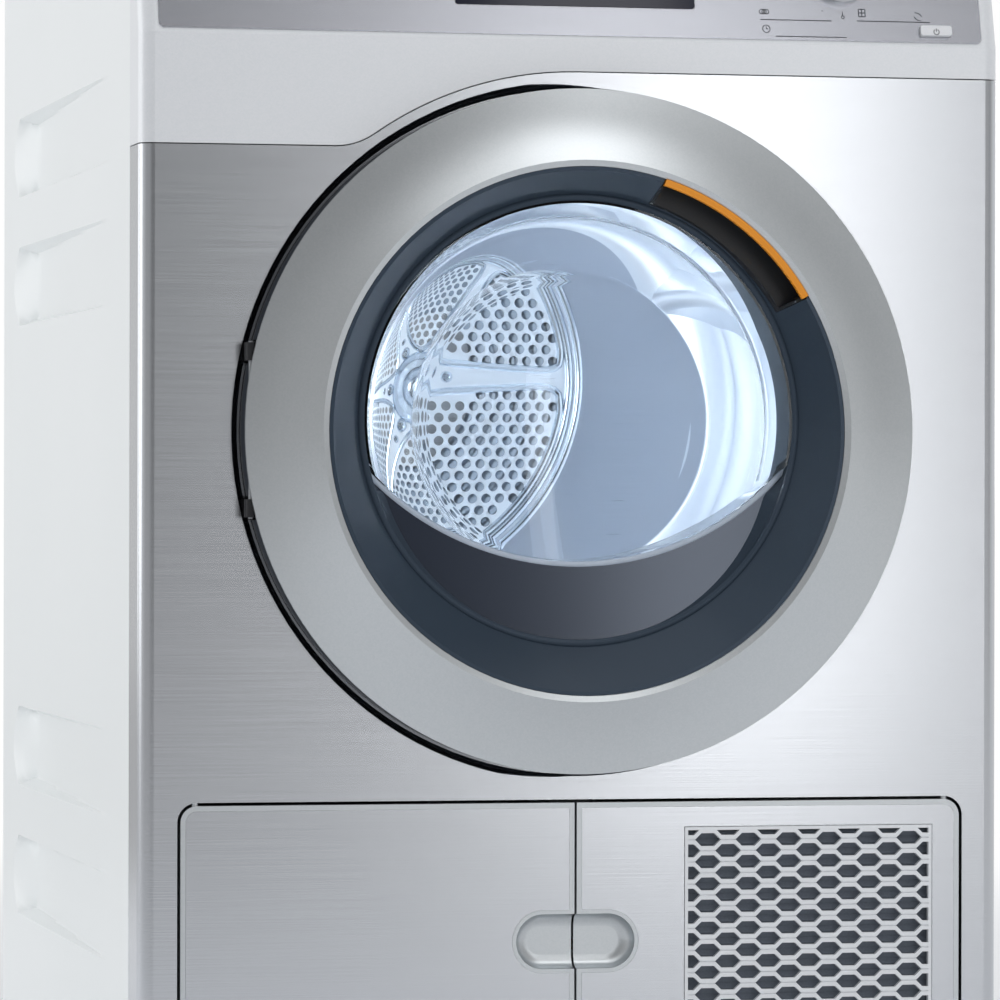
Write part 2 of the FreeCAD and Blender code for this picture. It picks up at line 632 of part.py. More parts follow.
def front_panel():
    """Folded steel front with the door dish, the flap opening and the slots of hinge and lock."""
    radius = "corner_radius"
    flange = "half_width - return_flange"
    turn_out = f"{radius} * quarter_arc"
    turn_in = f"-({radius} - sheet_wall) * quarter_arc"
    folded = column(
        ("foot_height", "seam_right - seam_gap"),
        [
            ("-half_width", "front_wrap"), ("-half_width", radius, turn_out),
            (f"-half_width + {radius}", "0"), (f"half_width - {radius}", "0", turn_out),
            ("half_width", radius), ("half_width", "front_wrap"), (flange, "front_wrap"),
            (flange, "front_wrap - sheet_wall"), ("inner_half", "front_wrap - sheet_wall"),
            ("inner_half", radius, turn_in), (f"half_width - {radius}", "sheet_wall"),
            (f"-half_width + {radius}", "sheet_wall", turn_in), ("-inner_half", radius),
            ("-inner_half", "front_wrap - sheet_wall"), (f"-({flange})", "front_wrap - sheet_wall"),
            (f"-({flange})", "front_wrap"),
        ],
    )
    above_seam = slab(
        (behind("-1"), behind("front_wrap + 1")),
        seam("seam_gap") + [("0", "seam_right + 5"), ("-half_width - 5", "seam_right + 5")],
    )
    through = (behind("-1"), behind("sheet_wall + 1"))
    opening = ("-open_half", "open_half", "open_low", "open_top", "open_corner")
    flap_hole = slab(through, rounded(*opening))
    door_hole = rod("y", ("0", "door_height"), through, "dish_radius")
    dish = turned(
        DOOR,
        [
            ("dish_radius", "0", "dish_roll"), ("dish_floor", "dish_depth"), ("port_hole", "dish_depth"),
            ("port_hole", "dish_back"), ("dish_floor + sheet_wall", "dish_back", "-dish_roll"),
            ("dish_radius", "sheet_wall"),
        ],
    )
    grown = [f"{limit} {sign} sheet_wall" for limit, sign in zip(opening, "-+-++")]
    rim = slab(
        ("front_face", behind("opening_flange")),
        rounded(*grown),
        rounded(*opening),
    )
    hinge_slots = [
        box(
            ("-hinge_offset - arm_left - ear_gap", "-hinge_offset + arm_right + ear_gap"),
            (behind("dish_depth - slot_relief"), behind("dish_back + 1")),
            (f"door_height {side} ear_offset - ear_height / 2 - 1",
             f"door_height {side} ear_offset + ear_height / 2 + 1"),
        )
        for side in "+-"
    ]
    lock_slot = box(
        ("hook_centre - hook_width / 2 - lock_gap", "hook_centre + hook_width / 2 + lock_gap"),
        (behind("dish_depth - 1"), behind("dish_back + 1")),
        ("door_height - hook_height / 2 - lock_gap", "door_height + hook_height / 2 + lock_gap"),
    )
    rims = ("open_low - 2 * sheet_wall", "open_top + 2 * sheet_wall")
    pin_holes = [
        rod("z", (f"{side}pivot_place", behind("flap_pivot_back")), rims, "pin_radius + panel_gap")
        for side in ("-", "")
    ]
    sheet_part = cut(folded, above_seam, flap_hole, door_hole)
    return cut(fuse(sheet_part, dish, rim), *hinge_slots, lock_slot, *pin_holes)


# Fascia and controls.
def panel_spot(across, up, out="0"):
    """A point on the tilted control face: across, up the slope and behind the face."""
    return (
        across,
        f"front_face + ({up}) * sin(panel_tilt) + ({out}) * cos(panel_tilt)",
        f"bend_height + ({up}) * cos(panel_tilt) - ({out}) * sin(panel_tilt)",
    )


def tilted(item, spot):
    turn(item, FreeCAD.Vector(1, 0, 0), "-panel_tilt")
    place(item, *spot)
    return item


def on_panel(depth, *loops):
    """Outlines in across and up the slope, filled between two depths behind the control face."""
    body = padded("XZ_Plane", loops, f"({depth[1]}) - ({depth[0]})", backwards=True)
    return tilted(body, panel_spot("0", "0", depth[0]))


def button_outline(rise, spread):
    return rounded(
        f"button_centre - button_length / 2 - {spread}", f"button_centre + button_length / 2 + {spread}",
        f"{rise} - button_height / 2 - {spread}", f"{rise} + button_height / 2 + {spread}", "button_corner",
    )


def fascia_block(inset, extra):
    """The fascia's outer form, or its hollow when inset by the wall and run past its open sides."""
    def plan(setback):
        side = f"(half_width - {inset})"
        radius = f"(corner_radius - {inset})"
        near = f"{inset} + {setback}"
        far = f"front_wrap + {extra}"
        sag = f"{radius} * quarter_arc"
        return [
            (f"-{side}", far), (f"-{side}", f"{near} + {radius}", sag), (f"-{side} + {radius}", near),
            (f"{side} - {radius}", near, sag), (side, f"{near} + {radius}"), (side, far),
        ]
    lower = column((f"seam_left - {extra}", "bend_height"), plan("0"))
    upper = lofted(
        "XY_Plane", ("0", "front_face", "0"), plan("0"), plan("panel_setback"), ("bend_height", "case_top"))
    return fuse(lower, upper)


def fascia():
    shell = cut(fascia_block("0", "0"), fascia_block("fascia_wall", "1"))
    below_seam = slab(
        (behind("-1"), behind("front_wrap + 1")),
        seam("0") + [
            ("half_width + 5", "seam_right"), ("half_width + 5", "seam_left - 5"),
            ("-half_width - 5", "seam_left - 5"),
        ],
    )
    wall = ("-1", "fascia_wall + 2")
    holes = [on_panel(wall, button_outline(rise, "panel_gap")) for rise in ("power_rise", "start_rise")]
    holes.append(on_panel(wall, ("circle", "knob_centre", "knob_rise", "spindle_radius + panel_gap")))
    return cut(shell, below_seam, *holes)


def display_outline(spread):
    return rounded(
        f"-display_half - {spread}", f"display_half + {spread}", f"display_low - {spread}",
        f"display_low + display_length + {spread}", "plate_corner / 2",
    )


def control_plate():
    return on_panel(
        ("-plate_wall", "0"),
        rounded("-plate_half", "plate_half", "plate_low", "plate_low + plate_length", "plate_corner"),
        display_outline("panel_gap"),
        button_outline("power_rise", "panel_gap"),
        button_outline("start_rise", "panel_gap"),
        ("circle", "knob_centre", "knob_rise", "spindle_radius + panel_gap"),
    )


def display_window():
    return on_panel(("-plate_wall - panel_gap", "0"), display_outline("0"))


def push_button(rise):
    return on_panel(("-button_proud - plate_wall", "button_inside"), button_outline(rise, "0"))


def selector_knob():
    """Hollow tapered knob with a rounded crown, on its spindle."""
    crown = "-plate_wall - panel_gap - knob_height"
    foot = "-plate_wall - panel_gap"
    spindle_end = "fascia_wall + board_gap - panel_gap"
    profile = [
        ("0", crown), ("knob_radius - knob_taper - knob_round", crown, "-knob_round * quarter_arc"),
        ("knob_radius - knob_taper", f"{crown} + knob_round"), ("knob_radius", foot),
        ("knob_radius - knob_wall", foot),
        ("knob_radius - knob_taper - knob_wall", f"{crown} + knob_round + knob_wall"),
        ("spindle_radius", f"{crown} + knob_round + knob_wall"), ("spindle_radius", spindle_end),
        ("0", spindle_end),
    ]
    return tilted(turned(("0", "0", "0"), profile), panel_spot("knob_centre", "knob_rise"))


def control_board():
    """Electronics case behind the fascia, on four posts, with the selector's encoder."""
    near = "fascia_wall + board_gap"
    left = "-board_half * 2"
    right = "button_centre + button_length"
    low = "plate_low + board_margin"
    high = "plate_low + plate_length - board_margin"
    case = on_panel((near, f"{near} + board_depth"), rounded(left, right, low, high, "board_corner"))
    posts = [
        on_panel(("fascia_wall", near), ("circle", across, up, "boss_radius"))
        for across in (f"{left} + post_inset", "button_centre - 3 * post_inset")
        for up in (f"{low} + post_inset", f"{high} - post_inset")
    ]
    encoder = on_panel(
        (f"{near} - encoder_depth", near),
        ("circle", "knob_centre", "knob_rise", "spindle_radius * 3"),
        ("circle", "knob_centre", "knob_rise", "spindle_radius + run_gap"),
    )
    return fuse(case, *posts, encoder)


# Door.
def door_ring():
    return turned(
        DOOR,
        [
            ("ring_radius", "-rim_proud", "ring_dome"), ("ring_crest", "-door_proud"),
            ("lip_radius", "-door_proud + lip_drop"), ("lip_radius", "-lip_back"),
            ("lip_radius + ring_wall", "-lip_back"), ("lip_radius + ring_wall", "-door_proud + ring_wall"),
            ("ring_radius - ring_land", "-frame_seat"), ("ring_radius", "-frame_seat"),
        ],
    )


def funnel(spread):
    """The off-centre cone between the ring's lip and the window, grown by a spread."""
    return lofted(
        "XZ_Plane", DOOR,
        ("circle", "0", "0", f"lip_radius - panel_gap - surround_wall + {spread}"),
        ("circle", "0", "window_lift", f"window_radius + {spread}"),
        ("door_proud - lip_drop", "window_proud"),
    )


def arc_piece(profile, margin):
    """A profile turned through the grip's angle, widened at both ends by a margin in degrees."""
    body = turned(DOOR, profile, sweep=f"grip_end_angle - grip_start_angle + 2 * ({margin})")
    turn(body, FreeCAD.Vector(0, 1, 0), f"-grip_end_angle - ({margin})")
    return body


def window_surround():
    pocket = rectangle("grip_inner - panel_gap", "lip_radius", "-door_proud", "-window_proud - 1")
    return cut(funnel("surround_wall"), funnel("0"), arc_piece(pocket, "grip_play_angle"))


def grip_cup():
    """Finger pocket that reaches behind the ring's lip."""
    outside = arc_piece(rectangle("grip_inner", "grip_outer", "-grip_top", "-grip_floor"), "0")
    hollow = rectangle(
        "grip_inner + grip_wall", "grip_outer - grip_wall", "-grip_top - 1", "-grip_floor - grip_wall")
    return cut(outside, arc_piece(hollow, "-grip_wall_angle"), funnel("0"))


def grip_strip():
    edge = "lip_radius - strip_gap"
    return arc_piece(
        [
            (f"{edge} - strip_width", "-strip_proud + strip_bevel"), (edge, "-strip_proud"),
            (edge, "-strip_proud + strip_depth"), (f"{edge} - strip_width", "-strip_proud + strip_depth"),
        ],
        "-strip_trim_angle",
    )


def bowl(shrink, start):
    """The window bowl's solid, shrunk by a wall and cut off by the apron's arc."""
    lip = f"(window_radius - glass_play - {shrink})"
    floor = f"({lip} - bowl_taper - bowl_round)"
    turned_bowl = turned(
        ("0", "front_face", "window_height"),
        [
            ("0", start), (lip, start),
            (f"{lip} - bowl_taper", "bowl_shoulder", "bowl_round * quarter_arc"),
            (floor, "bowl_shoulder + bowl_round",
             dome(floor, f"bowl_depth - {shrink} - bowl_shoulder - bowl_round")),
            ("0", f"bowl_depth - {shrink}"),
        ],
    )
    arc = rod("y", ("0", "apron_centre"), (behind("-window_proud - 1"), behind("bowl_depth + 1")),
              f"apron_arc - panel_gap - {shrink}")
    return common(turned_bowl, arc)


def door_glass():
    rim_depth = (behind("-window_proud"), behind("-window_proud + glass_wall"))
    hole = "window_radius - glass_play"
    rim = rod("y", ("0", "door_height"), rim_depth, "glass_radius")
    window = rod("y", ("0", "window_height"), (behind("-window_proud - 1"), behind("apron_wall")), hole)
    wall = cut(bowl("0", "-window_proud"), bowl("glass_wall", "-window_proud - 0.5"))
    past = (behind("-window_proud - 2"), behind("apron_wall + 1"))
    low_edge = cut(window, rod("y", ("0", "apron_centre"), past, "apron_arc - glass_wall - 1"))
    ring = cut(rim, rod("y", ("0", "window_height"), rim_depth, hole))
    return fuse(ring, cut(wall, low_edge))


def apron_slab(start, end):
    """A plate leaning back from the lower window edge, between two distances behind its face."""
    plate = doc.addObject("Part::Box", "plate")
    bind(plate, "Length", "2 * window_radius")
    bind(plate, "Width", f"({end}) - ({start})")
    bind(plate, "Height", "2 * window_radius")
    turn(plate, FreeCAD.Vector(1, 0, 0), "-apron_tilt")
    set_back = behind(f"-window_proud + 1 + ({start}) / cos(apron_tilt)")
    place(plate, "-window_radius", set_back, "window_height - window_radius")
    return plate


def below_arc(start, end, inset):
    """The part of the leaning plate between the window's edge and the apron's arc."""
    reach = (behind("-2 * window_proud"), behind("bowl_depth"))
    edge = rod("y", ("0", "window_height"), reach, f"window_radius - glass_play - panel_gap - {inset}")
    arc = rod("y", ("0", "apron_centre"), reach, f"apron_arc + {inset} / 2")
    return cut(common(apron_slab(start, end), edge), arc)


def door_frame():
    """Rear frame of the door with the hinge knuckle and the latch hook."""
    frame = turned(
        DOOR,
        [
            ("frame_radius", "-frame_seat"), ("frame_radius", "frame_back"), ("tube_radius", "frame_back"),
            ("tube_radius", "-window_proud + glass_wall"),
            ("tube_radius + frame_wall", "-window_proud + glass_wall"),
            ("tube_radius + frame_wall", "frame_back - frame_wall"),
            ("frame_radius - frame_wall", "frame_back - frame_wall"),
            ("frame_radius - frame_wall", "-frame_seat"),
        ],
    )
    side = ("-frame_radius - 1", "-hinge_offset + knuckle_width / 2")
    half = "(ear_offset - ear_height / 2 - ear_gap)"
    block = box(side, (behind("-frame_seat + 0.5"), behind("frame_back - 1")),
                (f"door_height - {half}", f"door_height + {half}"))
    depth = (behind("-frame_seat"), behind("frame_back"))
    knuckle = common(block, rod("y", ("0", "door_height"), depth, "frame_radius"))
    notches = [
        box(
            ("-frame_radius - 1", "-hinge_offset + arm_right + ear_gap + notch_relief"),
            (behind("-frame_seat - 1"), behind("frame_back + 1")),
            (f"door_height {mark} ear_offset - ear_height / 2 - ear_gap",
             f"door_height {mark} ear_offset + ear_height / 2 + ear_gap"),
        )
        for mark in "+-"
    ]
    through = (f"door_height - {half} - 1", f"door_height + {half} + 1")
    bore = rod("z", HINGE, through, "pin_radius")
    tip = "frame_back + hook_reach"
    hook = column(
        ("door_height - hook_height / 2", "door_height + hook_height / 2"),
        [
            ("hook_centre - hook_width / 2", "frame_back - 1"),
            ("hook_centre + hook_width / 2 - hook_neck", "frame_back - 1"),
            ("hook_centre + hook_width / 2 - hook_neck", f"{tip} - hook_tip"),
            ("hook_centre + hook_width / 2", f"{tip} - hook_tip"),
            ("hook_centre + hook_width / 2 - hook_bevel", tip),
            ("hook_centre - hook_width / 2", tip),
        ],
    )
    return cut(fuse(cut(frame, *notches), knuckle, hook), bore)


def hinge_pin():
    reach = "(ear_offset + ear_height / 2 + 1)"
    return rod("z", HINGE, (f"door_height - {reach}", f"door_height + {reach}"), "pin_radius")


def door_hinge_bracket():
    plate = box(
        ("-hinge_offset - hinge_plate_out", "-hinge_offset + hinge_plate_in"),
        (behind("dish_back"), behind("dish_back + hinge_plate_wall")),
        ("door_height - hinge_plate_half", "door_height + hinge_plate_half"),
    )
    arms = []
    bores = []
    for mark in "+-":
        ear = f"door_height {mark} ear_offset"
        upright = (f"{ear} - ear_height / 2", f"{ear} + ear_height / 2")
        side = ("-hinge_offset - arm_left", "-hinge_offset + arm_right")
        arms.append(rod("z", HINGE, upright, "ear_radius"))
        arms.append(box(side, ("hinge_place", behind("dish_back + 1")), upright))
        bores.append(rod("z", HINGE, upright, "pin_radius + run_gap"))
    return cut(fuse(plate, *arms), *bores)


def door_lock():
    half = "(hook_width / 2 + lock_gap)"
    tall = "(hook_height / 2 + lock_gap)"
    start = behind("dish_back")
    body = box(
        (f"hook_centre - {half} - lock_wall", f"hook_centre + {half} + lock_wall"),
        (start, f"{start} + lock_depth"),
        (f"door_height - {tall} - lock_wall", f"door_height + {tall} + lock_wall"),
    )
    mouth = box(
        (f"hook_centre - {half}", f"hook_centre + {half}"),
        (f"{start} - 1", f"{start} + lock_depth - lock_wall"),
        (f"door_height - {tall}", f"door_height + {tall}"),
    )
    return cut(body, mouth)


def door_seal():
    return turned(DOOR, [
        ("seal_inner", "dish_depth"), ("seal_inner + seal_taper", "frame_back + panel_gap"),
        ("seal_outer - seal_taper", "frame_back + panel_gap"), ("seal_outer", "dish_depth"),
    ])


def loading_port():
    outer = "port_radius + port_wall"
    return turned(DOOR, [
        ("port_radius + port_round", "dish_back"), ("port_flange", "dish_back"),
        ("port_flange", "dish_back + port_wall"),
        (outer, "dish_back + port_wall"), (outer, "dish_back + port_length"),
        ("port_radius", "dish_back + port_length"),
        ("port_radius", "dish_back + port_round", "port_round * quarter_arc"),
    ])


# Service flaps. The left one is drawn and the right one mirrors it.
def flap_outline(inset):
    side = f"(flap_half - {inset})"
    radius = f"(flap_corner - {inset})"
    sag = f"{radius} * quarter_arc"
    low = f"flap_low + {inset}"
    high = f"flap_top - {inset}"
    edge = f"-flap_seam / 2 - {inset}"
    return [
        (f"-{side} + {radius}", low), (edge, low), (edge, high), (f"-{side} + {radius}", high, sag),
        (f"-{side}", f"{high} - {radius}"), (f"-{side}", f"{low} + {radius}", sag),
    ]


def cup_outline(edge, spread):
    """Half of the finger cup, open at the seam."""
    half = f"(cup_half + {spread})"
    return [
        (edge, f"flap_centre - {half}"), (edge, f"flap_centre + {half}"),
        ("-cup_centre", f"flap_centre + {half}", f"{half} * quarter_arc"),
        (f"-cup_centre - {half}", "flap_centre", f"{half} * quarter_arc"),
        ("-cup_centre", f"flap_centre - {half}"),
    ]


def rounded_cup():
    """The cup's hollow with a dished floor."""
    hollow = slab((behind("-1"), behind("cup_depth")), cup_outline("1", "0"))
    doc.recompute()
    deep = number(behind("cup_depth"))
    edges = [
        (index, number("cup_depth - 1"), number("cup_depth - 1"))
        for index, edge in enumerate(hollow.Shape.Edges, 1)
        if abs(edge.BoundBox.YMin - deep) < 0.01 and edge.BoundBox.YLength < 0.01 and edge.BoundBox.XMax < 0.5
    ]
    dished = doc.addObject("Part::Fillet", "dished")
    dished.Base = hollow
    dished.Edges = edges
    return dished


def skin_outline(play):
    """The inlaid sheet with some play: the flap's outline inset by its border, and a bay round the cup."""
    inset = f"(flap_border + {play})"
    loop = flap_outline(inset)
    edge = f"-flap_seam / 2 - {inset}"
    half = f"(cup_half + cup_lip + {play})"
    bay = [
        (edge, f"flap_centre - {half}"), ("-cup_centre", f"flap_centre - {half}", f"-{half} * quarter_arc"),
        (f"-cup_centre - {half}", "flap_centre", f"-{half} * quarter_arc"),
        ("-cup_centre", f"flap_centre + {half}"), (edge, f"flap_centre + {half}"),
    ]
    return loop[:2] + bay + loop[2:]


def flap_body():
    block = slab(("front_face", behind("flap_depth")), flap_outline("0"))
    hollow = slab((behind("flap_wall + skin_wall"), behind("flap_depth + 1")), flap_outline("flap_wall"))
    cup_wall = ("front_face", behind("cup_depth + flap_wall"))
    backing = slab(cup_wall, cup_outline("-flap_seam / 2", "flap_wall"))
    inlay = slab((behind("-1"), behind("skin_wall")), skin_outline("0"))
    pivot = ("-pivot_place", behind("flap_pivot_back"))
    posts = [
        rod("z", pivot, ("flap_low - flap_pin_reach", "flap_low + flap_pin_root"), "pin_radius"),
        rod("z", pivot, ("flap_top - flap_pin_root", "flap_top + flap_pin_reach"), "pin_radius"),
    ]
    return cut(fuse(cut(block, hollow), backing, *posts), rounded_cup(), inlay)


def grille_window(depth, inset):
    return slab(depth, rectangle(
        f"grille_left + {inset}", f"grille_left + grille_width - {inset}",
        f"grille_low + {inset}", f"grille_top - {inset}"))


def air_grille():
    """Net of wide six-sided holes in a thin frame, as one holed face."""
    start = number("front_face")
    corner = FreeCAD.Vector(number("grille_left + panel_gap"), start, number("grille_low + panel_gap"))
    wide = number("grille_width - 2 * panel_gap")
    size = FreeCAD.Vector(wide, 0, number("grille_top - grille_low - 2 * panel_gap"))
    border = number("grille_border")
    pitch, rise = number("hole_pitch"), number("hole_rise")
    half, flat, tall = number("hole_length") / 2, number("hole_flat") / 2, number("hole_height") / 2

    def pane(inset):
        low = corner + FreeCAD.Vector(inset, 0, inset)
        high = corner + size - FreeCAD.Vector(inset, 0, inset)
        spots = [(low.x, low.z), (high.x, low.z), (high.x, high.z), (low.x, high.z), (low.x, low.z)]
        return Part.Face(Part.makePolygon([FreeCAD.Vector(x, start, z) for x, z in spots]))

    def hole(x, z):
        upper = [(-half, 0), (-flat, tall), (flat, tall), (half, 0)]
        spots = upper + [(flat, -tall), (-flat, -tall), (-half, 0)]
        return Part.Face(Part.makePolygon([FreeCAD.Vector(x + u, start, z + v) for u, v in spots]))

    middle = corner + size * 0.5
    rows = int(size.z / rise) + 2
    columns = int(size.x / pitch) + 2
    holes = []
    for row in range(-rows, rows + 1):
        shift = (row % 2) * pitch / 2
        for place_across in range(-columns, columns + 1):
            x = middle.x + place_across * pitch + shift
            z = middle.z + row * rise / 2
            if abs(x - middle.x) < size.x / 2 + half and abs(z - middle.z) < size.z / 2 + tall:
                holes.append(hole(x, z))
    net = pane(0).cut(Part.makeCompound(holes).common(pane(border)))
    grille = doc.addObject("Part::Feature", "grille")
    grille.Shape = net.Faces[0].extrude(FreeCAD.Vector(0, number("grille_wall"), 0))
    return grille


def flap_fittings():
    """Pivot bushes at the four corners of the opening and the two catches at its middle."""
    pieces = []
    for side in ("-", ""):
        spot = (f"{side}pivot_place", behind("flap_pivot_back"))
        for low, high in (
            ("open_low - sheet_wall - bush_height", "open_low - sheet_wall"),
            ("open_top + sheet_wall", "open_top + sheet_wall + bush_height"),
        ):
            block = box(
                (f"{side}pivot_place - bush_half", f"{side}pivot_place + bush_half"),
                (behind("sheet_wall"), behind("flap_pivot_back + bush_half")),
                (low, high),
            )
            pieces.append(cut(block, rod("z", spot, (low, high), "pin_radius + run_gap")))
    depth = (behind("flap_depth + panel_gap"), behind("flap_depth + panel_gap + catch_depth"))
    for low, high in (("open_low", "open_low + catch_drop"), ("open_top - catch_drop", "open_top")):
        pieces.append(box(("-catch_half", "catch_half"), depth, (low, high)))
    return group(*pieces)


# Drum and its supports.
def drum_shell():
    inner = "drum_inner"
    start = "drum_front"
    return turned(DRUM, [
        ("drum_radius - drum_lip", start), ("drum_radius - lip_round", start, "-lip_round * quarter_arc"),
        ("drum_radius", f"{start} + lip_round"), ("drum_radius", "drum_back_face"), (inner, "drum_back_face"),
        (inner, f"{start} + lip_round", "(lip_round - drum_wall) * quarter_arc"),
        ("drum_radius - lip_round", f"{start} + drum_wall"),
        ("drum_radius - drum_lip", f"{start} + drum_wall"),
    ])


def drum_back():
    """Rear wall of the drum: six perforated fields between spokes, one holed face."""
    pitch = number("perforation_pitch")
    radius = number("perforation_radius")
    field, hub, spoke = number("perforated_radius"), number("hub_radius"), number("spoke_half")
    axis = FreeCAD.Vector(0, 1, 0)
    spokes = [FreeCAD.Rotation(axis, 60 * step).multVec(FreeCAD.Vector(1, 0, 0)) for step in range(3)]
    holes = []
    count = int(field / pitch) + 1
    for row in range(-2 * count, 2 * count + 1):
        for step in range(-2 * count, 2 * count + 1):
            spot = FreeCAD.Vector((step + row / 2) * pitch, 0, row * pitch * 3 ** 0.5 / 2)
            clear = min(spot.cross(spoke_line).Length for spoke_line in spokes)
            if hub + radius < spot.Length < field - radius and clear > spoke + radius:
                holes.append(Part.Wire(Part.Circle(spot, axis, radius).toShape()))
    rim = Part.Wire(Part.Circle(FreeCAD.Vector(), axis, number("drum_radius")).toShape())
    wall = doc.addObject("Part::Feature", "perforated")
    face = Part.makeFace([rim] + holes, "Part::FaceMakerBullseye")
    wall.Shape = face.extrude(axis * number("drum_wall"))
    place(wall, "0", behind("drum_back_face"), "drum_height")
    inside = "drum_back_face + drum_wall / 2"
    bead = turned(DRUM, [
        ("bead_radius - bead_half", inside), ("bead_radius + bead_half", inside),
        ("bead_radius + bead_half", "drum_back_face", "-bead_height"),
        ("bead_radius - bead_half", "drum_back_face"),
    ])
    return fuse(wall, bead)


def lifter(inset):
    """One rib of the drum, or its hollow when inset by the wall."""
    ends = f"(lifter_inset + {inset})"
    top = f"drum_radius - lifter_height + {inset}"
    return slab(
        (behind(f"drum_front + {ends}"), behind(f"drum_back_face - {ends}")),
        [
            ("drum_radius", f"-lifter_half + {inset}"), ("drum_radius", f"lifter_half - {inset}"),
            (top, f"lifter_top - {inset}", "lifter_crown"), (top, f"-lifter_top + {inset}"),
        ],
        at=("0", "drum_height"),
    )


def drum_lifters():
    """Three hollow pressed ribs along the drum wall."""
    length = (behind("drum_front"), behind("drum_back_face"))
    ribs = []
    for step in range(3):
        solid = lifter("0")
        hollow = lifter("lifter_wall")
        for piece in (solid, hollow):
            turn(piece, FreeCAD.Vector(0, 1, 0), f"{step} * 120 - lifter_angle")
        inside = rod("y", ("0", "drum_height"), length, "drum_inner - lifter_gap")
        ribs.append(cut(common(solid, inside), hollow))
    return group(*ribs)


def drum_shaft():
    start = "drum_back_face + drum_wall"
    return turned(DRUM, [
        ("0", start), ("spider_radius", start), ("spider_radius", f"{start} + spider_wall"),
        ("shaft_radius * 2", f"{start} + spider_wall + spider_rise"),
        ("shaft_radius * 2", f"{start} + bulkhead_gap - 1"),
        ("shaft_radius", f"{start} + bulkhead_gap - 1"), ("shaft_radius", f"{start} + shaft_length"),
        ("0", f"{start} + shaft_length"),
    ])


def front_shield():
    """Front wall of the drum space with the felt collar and the two roller axles."""
    depth = (behind("shield_depth"), behind("shield_back"))
    plate = slab(
        depth,
        rectangle("-inner_half", "inner_half", "shield_low", "shield_top"),
        ("circle", "0", "door_height", "port_radius + port_wall + panel_gap"),
    )
    reach = (behind("shield_depth"), behind("shield_back + collar_length"))
    collar = tube("y", ("0", "drum_height"), reach, "collar_radius + collar_wall", "collar_radius")
    axle_span = (behind("shield_depth"), behind("roller_start + roller_width + axle_end"))
    axles = [
        rod("y", (f"{side}roller_side", "roller_height"), axle_span, "axle_radius")
        for side in ("-", "")
    ]
    return fuse(plate, collar, *axles)


def support_roller(side):
    span = (behind("roller_start"), behind("roller_start + roller_width"))
    return tube("y", (f"{side}roller_side", "roller_height"), span, "roller_radius", "axle_radius + run_gap")


def drum_felts():
    axis = ("0", "drum_height")
    front_span = (behind("shield_back + felt_start"), behind("shield_back + collar_length"))
    rear_span = (behind("drum_back_face + drum_wall + felt_gap"), behind("bulkhead_face"))
    front = tube("y", axis, front_span, "felt_radius", "collar_radius + collar_wall")
    rear = tube("y", axis, rear_span, "rear_felt_outer", "rear_felt_inner")
    return group(front, rear)


def rear_bulkhead():
    """Rear wall with four air openings round the bearing housing."""
    depth = (behind("bulkhead_face"), behind("bulkhead_back"))
    axis = ("0", "drum_height")
    side = "(inner_half - scoop_depth)"
    plate = slab(depth, rectangle(f"-{side}", side, "shield_low", "shield_top"))
    past = (behind("bulkhead_face - 1"), behind("bulkhead_back + 1"))
    arms = [
        box(("-duct_outer", "duct_outer"), past, ("drum_height - duct_spoke", "drum_height + duct_spoke")),
        box(("-duct_spoke", "duct_spoke"), past, ("drum_height - duct_outer", "drum_height + duct_outer")),
    ]
    openings = cut(tube("y", axis, past, "duct_outer - duct_lip", "duct_inner"), *arms)
    bush = "shaft_radius + bush_wall"
    deep = (behind("bulkhead_face"), behind("bulkhead_back + housing_length"))
    housing = rod("y", axis, deep, f"{bush} + housing_wall")
    bore = rod("y", axis, (f"{deep[0]} - 1", f"{deep[1]} + 1"), bush)
    return cut(fuse(cut(plate, openings), housing, rear_duct()), bore)


def drum_bearing():
    span = (behind("bulkhead_face + 1"), behind("bulkhead_back + housing_length"))
    return tube("y", ("0", "drum_height"), span, "shaft_radius + bush_wall", "shaft_radius + run_gap")


def rear_duct():
    """Drum of the warm air duct between bulkhead and rear panel, open below for the fan's chimney."""
    span = (behind("bulkhead_back"), "back_face")
    shell = tube("y", ("0", "drum_height"), span, "duct_outer + duct_wall", "duct_outer")
    mouth = box(
        ("-chimney_half + motor_offset", "chimney_half + motor_offset"),
        (behind("scroll_front"), behind("scroll_back")),
        ("drum_height - duct_outer - 2 * duct_wall", "drum_height - duct_outer + mouth_height"),
    )
    return cut(shell, mouth)


# Drive.
MOTOR = ("motor_offset", "motor_height")


def drive_motor():
    """Motor housing with tapered end bells on a foot."""
    span = (behind("motor_start"), behind("motor_end"))
    case = turned(("motor_offset", "front_face", "motor_height"), [
        ("motor_shaft + 1", "motor_start"), ("motor_radius - bell_height", "motor_start"),
        ("motor_radius", "motor_start + bell_length"), ("motor_radius", "motor_end - bell_length"),
        ("motor_radius - bell_height", "motor_end"), ("motor_shaft + 1", "motor_end"),
    ])
    foot = box(
        ("motor_offset - motor_foot / 2", "motor_offset + motor_foot / 2"),
        (f"{span[0]} + 1.5 * bell_length", f"{span[1]} - 1.5 * bell_length"),
        ("floor_height", "motor_height - 3 * motor_shaft"),
    )
    plate = box(
        ("motor_offset - motor_foot", "motor_offset + motor_foot"),
        (f"{span[0]} + bell_length", f"{span[1]} - bell_length"),
        ("floor_height", "floor_height + tray_wall"),
    )
    bore = rod("y", MOTOR, span, "motor_shaft + run_gap")
    return cut(fuse(case, foot, plate), bore)


